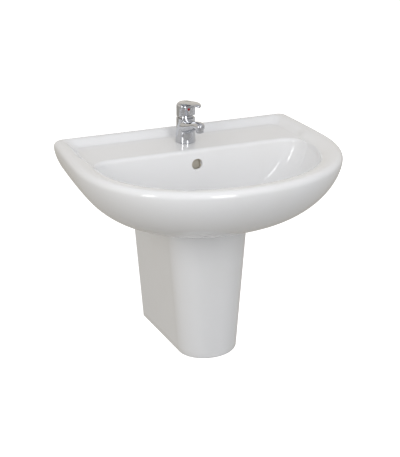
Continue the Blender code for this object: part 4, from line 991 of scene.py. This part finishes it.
def makeLever():
    top, low = lever["top"], lever["low"]
    r = tap["topRadius"]
    profile = [
        (0, top), (7, top - 0.35), (13, top - 1.3), (17.5, top - 2.9), (20.4, top - 5.2), (22, top - 8.2),
        (r, top - 12), (r, low), (0, low),
    ]
    obj = squared(lathe("tapLever", profile, tapAxis, "polishedChrome", sides=96), 2.9, 20, 50, 0.965)
    y, deck = tap["y"], tap["deck"]
    rings = []
    for reach, high, halfWidth, thick in overSections(lever["blade"], 4):

        def bladePoint(x, z):
            crown = 1.6 * (1 - (x / halfWidth) ** 2) if z > 0 else 0
            return Vector((x, y - reach, deck + (high - thick / 2 + z) + crown))

        rings.append(superRing(halfWidth, thick / 2, 44, (0.75, 0.8), bladePoint))
    weld(obj, loft("blade", rings, "polishedChrome"))
    softened(obj, 0.6, 8)
    ceiling = top - lever["roof"]
    carve(obj, pin("inside", r - lever["wall"], low - past, ceiling, tapAxis, "polishedChrome", sides=72))
    stemTop = deck + tap["stemTop"]
    half = lever["boss"]
    low, high = (-half, y - half, stemTop - 9), (half, y + half, deck + top - 6)
    weld(obj, block("boss", low, high, "turnedBrass", 0.8))
    half = tap["stemSide"] / 2 + fit
    low, high = (-half, y - half, stemTop - 19), (half, y + half, stemTop + fit)
    carve(obj, block("socket", low, high, "turnedBrass"))
    # the lower edge arches up over the dome in front and clears the body at the back
    edge = [(y + back, deck + z) for back, z in lever["edge"]]
    carve(obj, sideSlab("skirtEdge", edge, 80, "polishedChrome"))
    at = (0, 0, deck + lever["screwUp"])
    front, dotRadius = r - y, lever["dot"]
    carve(obj, pin("screwHole", lever["screw"] + fit, 2 - y, front + past, at, "turnedBrass", "wall", 32))
    carve(obj, pin("dotHole", dotRadius + fit, front - 1.4, front + past, at, "polishedChrome", "wall", 32))
    shade(obj, 38)
    stands(obj, "lever", "lever")
    profile = [
        (0, front + 0.5), (1.6, front + 0.42), (dotRadius, front + 0.1, 0.3),
        (dotRadius, front - 1.1), (0, front - 1.1),
    ]
    stands(lathe("temperatureDot", profile, at, "redEnamel", "wall", 40), "lever_plug", "lever")


def makeTapTop():
    # the domed cap that shows under the lever
    profile = [
        (10.4, 73.5, 0.5), (13, 72.9, 2), (15.4, 71, 2), (17.2, 68, 1.5), (18.1, 65, 1),
        (18.3, 63.8, 0.4), (20.5, 63.3, 0.4), (20.8, 62.3), (16.9, 62.3), (16.9, 64.5),
        (16.2, 67.5), (14.6, 70), (12.5, 71.5), (10.4, 72),
    ]
    cap = squared(lathe("tapCap", profile, tapAxis, "polishedChrome", sides=80, smooth=50), 2.6, 20, 50)
    stands(cap, "cartridge_cap")


def makeAerator():
    axis = (0, nozzleY, tap["deck"] + tap["face"])
    outer, low = tap["aerator"], -tap["aeratorLong"]
    thread = outer - tap["aeratorLip"]
    inner = thread - 1.4
    profile = [
        (thread, 6, 0.3), (thread, -0.3), (outer, -0.3, 0.5), (outer, low + 1, 0.8), (outer - 1, low, 0.4),
        (inner - 1, low, 0.3), (inner - 1, low + 1), (inner, low + 1), (inner, 6, 0.3),
    ]
    grip = fluted(48, 0.28, low + 2.2, -2.6, outer - 0.1)
    screw = threaded(1.0, 0.35, 0.4, 5.6, thread - 0.05)

    def relief(angle, radius, height):
        return grip(angle, radius, height) + (screw(angle, radius, height) if radius < thread + 0.1 else 0)

    ring = lathe("aeratorRing", profile, axis, "polishedChrome", sides=192, relief=relief, longest=0.45)
    stands(ring, "aerator_housing")
    # the outlet mesh: rings and spokes round a small hub
    radius = inner - fit
    bottom = low + 1.3
    profile = [(radius, 4), (radius, bottom, 0.2), (radius - 1.2, bottom, 0.2), (radius - 1.2, 4)]
    obj = lathe("aeratorMesh", profile, axis, "greyPlastic", sides=64)
    for size in (6.0, 3.6):
        profile = [(size, 2), (size, bottom + 0.1), (size - 0.7, bottom + 0.1), (size - 0.7, 2)]
        weld(obj, lathe("ringlet", profile, axis, "greyPlastic", sides=48))
    weld(obj, pin("hub", 1.4, bottom, 2, axis, "greyPlastic", sides=24, bevel=0.3))
    for i in range(6):
        angle = math.pi * i / 6
        way = Vector((math.cos(angle), math.sin(angle), 0))
        side = Vector((-way.y, way.x, 0)) * 0.4
        reach = radius - 0.6
        under, over = Vector((0, 0, bottom + 0.3)), Vector((0, 0, 1.8))
        rings = []
        for end in (-1, 1):
            centre = Vector(axis) + way * reach * end
            left, right = centre - side, centre + side
            rings.append([left + under, right + under, right + over, left + over])
        weld(obj, loft("spoke", rings, "greyPlastic"))
    shade(obj, 35)
    stands(obj, "aerator_insert")


makeTapBody()
makeLever()
makeTapTop()
makeAerator()
print("tap made")


# the waste and its plug
waste = {
    "y": basin["wasteY"], "seat": basin["recessZ"], "flange": 32, "flangeThick": 2.5,
    "tube": 20.8, "tubeWall": 2.3, "tubeLong": 80, "barHalf": 3.5, "slotHalf": 8, "seal": 5,
    "plug": 29, "plugRise": 9, "plugThick": 4, "clicker": 7.5, "locknut": 31, "locknutLong": 8,
}


def makeWaste():
    y, tube, end = waste["y"], waste["tube"], -waste["tubeLong"]
    axis = (0, y, waste["seat"])
    foot = (0, y, 0)
    inner = tube - waste["tubeWall"]
    seat = 2.0
    top = seat + waste["flangeThick"]
    outer = waste["flange"]
    profile = [
        (inner, top - 1, 0.8), (inner + 4, top, 1.5), (outer - 3, top, 1.5), (outer, seat + 0.6, 0.5),
        (outer, seat, 0.2), (tube, seat, 0.8), (tube, end, 0.6), (inner, end, 0.4),
    ]
    thread = threaded(2.0, 0.7, end + 1, -34, tube - 0.1)
    flange = lathe("wasteFlange", profile, axis, "polishedChrome", sides=80, relief=thread, longest=0.5)
    ductLow = basin["base"] - basin["ductDrop"]
    # a slot through the tube lets the overflow in, a bar and a hub carry the latch
    half = waste["slotHalf"]
    low, high = (-half, y - 42, ductLow), (half, y + 42, ductLow + basin["ductDeep"])
    carve(flange, block("slot", low, high, "polishedChrome"))
    guideZ = ductLow - 12
    hubTop = guideZ + 5
    reach, half = inner + 1, waste["barHalf"]
    weld(flange, block("bar", (-reach, y - half, guideZ), (reach, y + half, hubTop), "polishedChrome", 0.5))
    weld(flange, pin("hub", waste["clicker"] + 3, guideZ - 3, hubTop, foot, "polishedChrome", bevel=0.5))
    carve(flange, pin("hole", waste["clicker"] + fit, guideZ - past, hubTop + past, foot, "polishedChrome"))
    shade(flange, 32)
    stands(flange, "waste_flange")
    plugLow = waste["seat"] + top + waste["plugRise"]
    r, thick = waste["plug"], waste["plugThick"]
    profile = [
        (0, thick), (8, thick - 0.12), (16, thick - 0.5), (22, thick - 1.0), (26, thick - 1.65),
        (r - 1, thick - 2.2, 0.8), (r, thick - 3.2, 0.6), (r - 0.5, 0, 0.3), (0, 0),
    ]
    plug = lathe("plugCap", profile, (0, y, plugLow), "polishedChrome", sides=96, smooth=60)
    stands(plug, "plug_cap", "plug")
    high = basin["bossZ"] - fit - waste["seal"] - fit
    low = high - waste["locknutLong"]
    size = waste["locknut"]
    bore = tube + fit
    grip = fluted(8, 2.6, low + 0.3, high - 0.3, size - 0.2, 3)
    profile = [(size, high, 0.8), (size, low, 0.8), (bore, low, 0.5), (bore, high, 0.5)]
    locknut = lathe("wasteLocknut", profile, foot, "turnedBrass", sides=128, relief=grip, longest=0.8)
    stands(locknut, "waste_locknut")


# the bottle trap: its top is counted down from the rim, its outlet from the wall studs
trap = {
    "rim": basin["rim"], "radius": 30, "top": 252, "long": 92, "wall": 2.5, "cup": 34, "dip": 16,
    "outletZ": -200, "outlet": 16, "rosette": 33,
}


def makeTrap():
    y = waste["y"]
    axis = (0, y, trap["rim"])
    tube = waste["tube"]
    end = waste["seat"] - waste["tubeLong"] - trap["rim"]
    r = trap["radius"]
    inner = r - trap["wall"]
    bore, high, low = tube + fit, end + 9, end - 13
    profile = [(bore, high, 0.5), (26, high, 0.8), (27, high - 2, 1), (27, low, 1), (bore, low, 0.5)]
    grip = fluted(30, 0.9, end - 12, end + 6.4, 26.4)
    top = lathe("trapInletNut", profile, axis, "trapPlastic", sides=180, relief=grip, longest=1.2)
    stands(top, "trap_inlet_nut")
    sealLow = end - 2.5
    dipTop = sealLow - fit
    dipLow = -trap["top"] - trap["long"] + 16
    lip = dipTop - 2.4
    joint, dip = tube - fit, trap["dip"]
    profile = [
        (joint, dipTop, 0.3), (joint, lip, 0.4), (dip, lip, 0.8), (dip, dipLow, 0.4),
        (dip - 2, dipLow, 0.4), (dip - 2, dipTop, 0.5),
    ]
    stands(lathe("trapDipTube", profile, axis, "trapPlastic", sides=64), "trap_dip_tube")
    high = -trap["top"]
    collar = lip - fit
    bodyLow = high - trap["long"] + trap["cup"]
    profile = [
        (joint, collar, 0.4), (joint, high + 4, 2.5), (r - 4, high + 1, 3), (r, high - 4, 3),
        (r, bodyLow + 9, 0.3), (r - 0.6, bodyLow + 8.4), (r - 0.6, bodyLow, 0.3), (inner, bodyLow, 0.3),
        (inner, high - 6, 2), (dip + fit, high - 2, 0.4), (dip + fit, collar, 0.4),
    ]
    body = lathe("trapBody", profile, axis, "trapPlastic", sides=96)
    outletZ = trap["outletZ"]
    portEnd = y + r + 24
    port = trap["outlet"] + 3
    middle = (0, 0, outletZ)
    weld(body, pin("port", port, -portEnd, -(y + inner - 4), middle, "trapPlastic", "wall", 64))
    low, top = trap["rim"] + bodyLow - past, trap["rim"] + high - 6
    carve(body, pin("trapInside", inner, low, top, (0, y, 0), "trapPlastic", sides=64))
    outlet = trap["outlet"]
    near, far = -portEnd - past, -(y + dip + 3)
    carve(body, pin("portBore", outlet + fit, near, far, middle, "trapPlastic", "wall", 64))
    shade(body, 38)
    stands(body, "trap_body")
    cupTop = bodyLow - fit
    low = high - trap["long"]
    profile = [
        (0, low + 3), (inner - 8, low + 3, 2), (inner - 3, low + 8, 2), (inner, cupTop - 10, 1),
        (inner, cupTop, 0.4), (r + 2, cupTop, 0.6), (r + 2, cupTop - 10, 1), (r - 1, cupTop - 14, 1.5),
        (r - 4, low + 5, 2), (r - 9, low, 2), (0, low),
    ]
    grip = fluted(36, 1.1, cupTop - 9.6, cupTop - 0.8, r + 1.5)
    cup = lathe("trapCup", profile, axis, "trapPlastic", sides=216, relief=grip, longest=1.4)
    stands(cup, "trap_cup")
    pipeStart = y + r + 3
    bore = outlet - 1.8
    profile = [(outlet, -pipeStart, 0.3), (outlet, 0), (bore, 0), (bore, -pipeStart, 0.3)]
    stands(lathe("trapOutletPipe", profile, middle, "trapPlastic", "wall", 64), "trap_outlet_pipe")
    mouth = -portEnd
    size = port + 5
    start, stop = mouth + 8, mouth - 6
    profile = [
        (port + fit, start, 0.4), (size - 1, start, 0.6), (size, start - 2, 0.8), (size, stop + 1, 0.6),
        (size - 1, stop, 0.5), (outlet + fit, stop, 0.4), (outlet + fit, mouth - fit),
        (port + fit, mouth - fit),
    ]
    grip = fluted(28, 0.9, stop + 1.6, start - 2.6, size - 0.3)
    ring = lathe("trapOutletNut", profile, middle, "trapPlastic", "wall", 168, grip, 1.0)
    stands(ring, "trap_outlet_nut")
    wide, bore = trap["rosette"], outlet + fit
    profile = [(bore, 9, 0.4), (outlet + 4, 9, 2), (wide - 3, 4, 5), (wide, 0, 0.3), (bore, 0)]
    stands(lathe("trapRosette", profile, middle, "polishedChrome", "wall", 80), "trap_rosette")


# the wall valves, to which the copper tails come down
valve = {
    "x": 62, "z": -282, "radius": 10, "long": 50, "outletY": -36, "outletUp": 20, "neck": 7.5,
    "rosette": 27, "knob": 11, "knobLong": 16,
}


def makeSupply(side, sign):
    x, z = sign * valve["x"], valve["z"]
    start = Vector((sign * tap["tailX"], tap["y"] + tap["tailBack"], tap["base"] + tap["tailDeep"]))
    neck = start + Vector((0, 0, -70))
    end = Vector((x, valve["outletY"], z + valve["outletUp"] - 7))
    foot = end + Vector((0, 0, 55))
    curve = bezier(neck, neck + Vector((0, 0, -80)), foot + Vector((0, 0, 80)), foot, 48)
    straight = [mixed(start, neck, i / 6) for i in range(6)]
    down = [mixed(foot, end, i / 5) for i in range(1, 6)]
    tail = pipe(side + "SupplyTail", straight + curve + down, tap["tail"], "copperTube")
    stands(tail, side + "_tail")
    r, long = valve["radius"], valve["long"]
    profile = [
        (0, long), (r - 2, long, 0.4), (r, long - 2, 0.6), (r, 16, 1), (r - 1.5, 12, 1), (r - 1.5, 0), (0, 0),
    ]
    body = lathe(side + "Valve", profile, (x, 0, z), "polishedChrome", "wall", 48)
    mouth = z + valve["outletUp"]
    outletAt = (x, valve["outletY"], 0)
    profile = [(0, mouth), (valve["neck"], mouth, 0.3), (valve["neck"], z + 2), (0, z + 2)]
    thread = threaded(1.3, 0.5, mouth - 8, mouth + 1, valve["neck"] - 0.1)
    weld(body, lathe("outlet", profile, outletAt, "polishedChrome", sides=48, relief=thread, longest=0.4))
    bore = tap["tail"] + fit
    carve(body, pin("outletBore", bore, mouth - 8, mouth + past, outletAt, "turnedBrass", sides=32))
    shade(body, 35)
    stands(body, side + "_valve")
    at = (x, valve["outletY"], mouth + fit + 4.5)
    stands(nut(side + "TailNut", 17, bore, 9, at, "polishedChrome"), side + "_tail_nut")
    wide = valve["rosette"]
    profile = [(r - 1.2, 7, 0.4), (15, 7, 1.5), (wide - 3, 4, 4), (wide, 0, 0.3), (r - 1.2, 0)]
    rosette = lathe(side + "ValveRosette", profile, (x, 0, z), "polishedChrome", "wall", 72)
    stands(rosette, side + "_valve_rosette")
    knobStart = long + fit
    knobEnd = knobStart + valve["knobLong"]
    k = valve["knob"]
    profile = [
        (0, knobEnd), (k - 2, knobEnd, 1), (k, knobEnd - 2, 1), (k, knobStart + 2, 0.8),
        (k - 2, knobStart, 0.6), (0, knobStart),
    ]
    grip = fluted(20, 0.55, knobStart + 2.5, knobEnd - 2.5, k - 0.2)
    knob = lathe(side + "ValveKnob", profile, (x, 0, z), "polishedChrome", "wall", 120, grip, 1.0)
    low, high = (x - 3, -knobEnd + 1, z), (x + 3, -knobStart - 5, z + 20)
    weld(knob, block("wing", low, high, "polishedChrome", 1.4))
    shade(knob, 35)
    stands(knob, side + "_valve_knob", side + "_knob")


def makeStud(name, radius, long, at, pitch, axis="wall", low=0.0):
    relief = threaded(pitch, pitch * 0.5, low + 0.2, low + long - 0.4, radius - 0.4)
    profile = [(0, low + long), (radius, low + long, 0.8), (radius, low), (0, low)]
    return lathe(name, profile, at, "zincPlate", axis, 36, relief, pitch / 4.5)


def makeFixings():
    wall = basin["wall"] + fit
    for side, x in (("Left", -basin["studX"]), ("Right", basin["studX"])):
        tag = side.lower()
        at = (x, 0, 0)
        stands(makeStud("wallStud" + side, 5, 62, at, 1.5), "wall_stud_" + tag)
        top = wall + 2.5
        profile = [(5.3, top, 0.3), (14, top, 0.6), (14, wall, 0.3), (8.7, wall), (8.7, 1, 0.4), (5.3, 1, 0.3)]
        stands(lathe("studSleeve" + side, profile, at, "naturalNylon", "wall", 48), "stud_sleeve_" + tag)
        start = wall + 2.8
        profile = [(5.3, start + 2, 0.2), (11, start + 2, 0.5), (11, start, 0.4), (5.3, start, 0.2)]
        stands(lathe("studWasher" + side, profile, at, "zincPlate", "wall", 48), "stud_washer_" + tag)
        nutAt = (x, -(start + 2 + fit + 4), 0)
        stands(nut("studNut" + side, 17, 5.3, 8, nutAt, "zincPlate", "wall"), "stud_nut_" + tag)
    lugZ = pedestal["top"] - pedestal["lugDrop"]
    for side, x in (("Left", -lugStudX()), ("Right", lugStudX())):
        tag = side.lower()
        stud = makeStud("pedestalStud" + side, 3, 32, (x, 0, lugZ), 1.0)
        stands(stud, "pedestal_stud_" + tag)
        nutAt = (x, -(4 + pedestal["lugThick"] + fit + 3), lugZ)
        piece = nut("pedestalNut" + side, 10, 3.3, 6, nutAt, "naturalNylon", "wall")
        stands(piece, "pedestal_nut_" + tag)
    top = tap["base"] + tap["studDeep"]
    at = (0, tap["y"] + tap["studBack"], top - tap["studLong"])
    stands(makeStud("tapStud", tap["stud"], tap["studLong"], at, 1.25, "up"), "tap_stud")
    nutAt = (0, tap["y"] + tap["studBack"], deckZ - basin["deckThick"] - 0.9 - 5.5 - 5.5)
    stands(nut("tapNut", 13, tap["stud"] + fit, 11, nutAt, "turnedBrass"), "tap_nut")


makeWaste()
makeTrap()
makeSupply("hot", -1)
makeSupply("cold", 1)
makeFixings()
print("fittings made")


# pieces kept from the frame, with softened edges and finishes of their own
kept = {
    "turnedBrass": ("cartridge_nut", "plug_stem", "clicker_body"),
    "greyPlastic": ("cartridge_body",),
    "naturalNylon": ("cartridge_rotor",),
    "zincPlate": ("stem_pin", "lever_screw", "lever_stem", "horseshoe_plate"),
    "blackRubber": (
        "aerator_seal", "tap_gasket", "horseshoe_seal", "waste_top_seal", "waste_bottom_seal", "plug_seal",
        "trap_inlet_seal",
    ),
}
for finish, names in kept.items():
    for name in names:
        obj = nodes[name]
        for slot in obj.material_slots:
            slot.material = finishes[finish]
        low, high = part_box(name)
        bevel = obj.modifiers.new("edge", "BEVEL")
        bevel.width = min(b - a for a, b in zip(low, high)) * 0.08
        bevel.segments = 2
        bevel.limit_method = "ANGLE"
        bevel.angle_limit = math.radians(40)
print("kept pieces finished")


# the plain room, its floor and its lights
studio = {
    "floorZ": -770, "floorSize": 60000, "floorColour": (0.8, 0.8, 0.8), "floorWear": (0.9, 0.9, 0.9),
    "floorGlow": 0.72, "aim": (0, -230, 60),
    "room": 1.0, "ceiling": (0.58, 0.58, 0.60), "doorway": (0.02, 0.02, 0.022),
    "wallNear": (0.52, 0.52, 0.525), "wallFar": (0.74, 0.70, 0.635),
    "lowNear": (0.46, 0.437, 0.395), "lowFar": (0.36, 0.36, 0.365),
    # azimuth, elevation, distance, width, height, power, colour
    "boxLeft": (-59, 20, 2300, 420, 1300, 10.5, (1.0, 0.99, 0.98)),
    "boxRight": (1, 20, 2300, 640, 1500, 16.5, (0.98, 0.99, 1.0)),
    "overhead": (6, 52, 2300, 2200, 1500, 4.2, (1.0, 0.995, 0.985)),
}


def makeFloor():
    side = studio["floorSize"] / 2
    z = studio["floorZ"]
    board = newFinish("studioFloor", 0.9)
    wear = board.noise(3, 4)
    board.feed("Base Color", board.colour(studio["floorColour"], studio["floorWear"], wear))
    board.feed("Emission Color", (1.0, 1.0, 1.0))
    board.feed("Emission Strength", studio["floorGlow"])

    def build(bm):
        corners = ((-side, -side), (side, -side), (side, side), (-side, side))
        bm.faces.new([bm.verts.new((x, y, z)) for x, y in corners])

    floor = newPiece("studioFloor", build, "studioFloor")
    # the floor stays plain: its glow doesn't light or mirror in the object
    floor.visible_diffuse = False
    floor.visible_glossy = False


def makeLight(name):
    azimuth, elevation, distance, width, height, power, colour = studio[name]
    data = bpy.data.lights.new(name, "AREA")
    data.shape = "RECTANGLE"
    data.size, data.size_y = width * mm, height * mm
    data.energy = power
    data.color = colour
    lamp = bpy.data.objects.new(name, data)
    bpy.context.scene.collection.objects.link(lamp)
    way = towards(azimuth, elevation)
    lamp.location = (Vector(studio["aim"]) + way * distance) * mm
    lamp.rotation_euler = way.to_track_quat("Z", "Y").to_euler()


def makeRoom():
    # a plain room: pale ceiling, grey wall in front of the object, warm wall behind it, one dark doorway
    world = bpy.data.worlds.new("studioRoom")
    bpy.context.scene.world = world
    world.use_nodes = True
    board = Board(world.node_tree)
    way = board.place("Generated")
    parts = board.add("ShaderNodeSeparateXYZ", None, {0: way}, 2)
    front = towards(shot["azimuth"] + 25, 0)
    facing = board.add("ShaderNodeVectorMath", {"operation": "DOT_PRODUCT"}, {0: way, 1: tuple(front)}, 1)
    sides = board.colour(studio["wallNear"], studio["wallFar"], 1 - facing.step(-0.35, 0.35))
    walls = board.colour(sides, studio["ceiling"], parts.step(0.45, 0.85))
    below = board.colour(studio["lowNear"], studio["lowFar"], facing.step(-0.3, 0.6))
    room = board.colour(below, walls, parts.step(-0.1, 0.03))
    doorway = facing.step(0.76, 0.87) * (1 - parts.step(-0.14, -0.06))
    room = board.colour(room, studio["doorway"], doorway * 0.96)
    back = world.node_tree.nodes["Background"]
    board.set(back, "Color", room)
    board.set(back, "Strength", studio["room"])


makeFloor()
for lampName in ("boxLeft", "boxRight", "overhead"):
    makeLight(lampName)
makeRoom()
bpy.context.scene.view_settings.view_transform = "Standard"
print("studio lit")
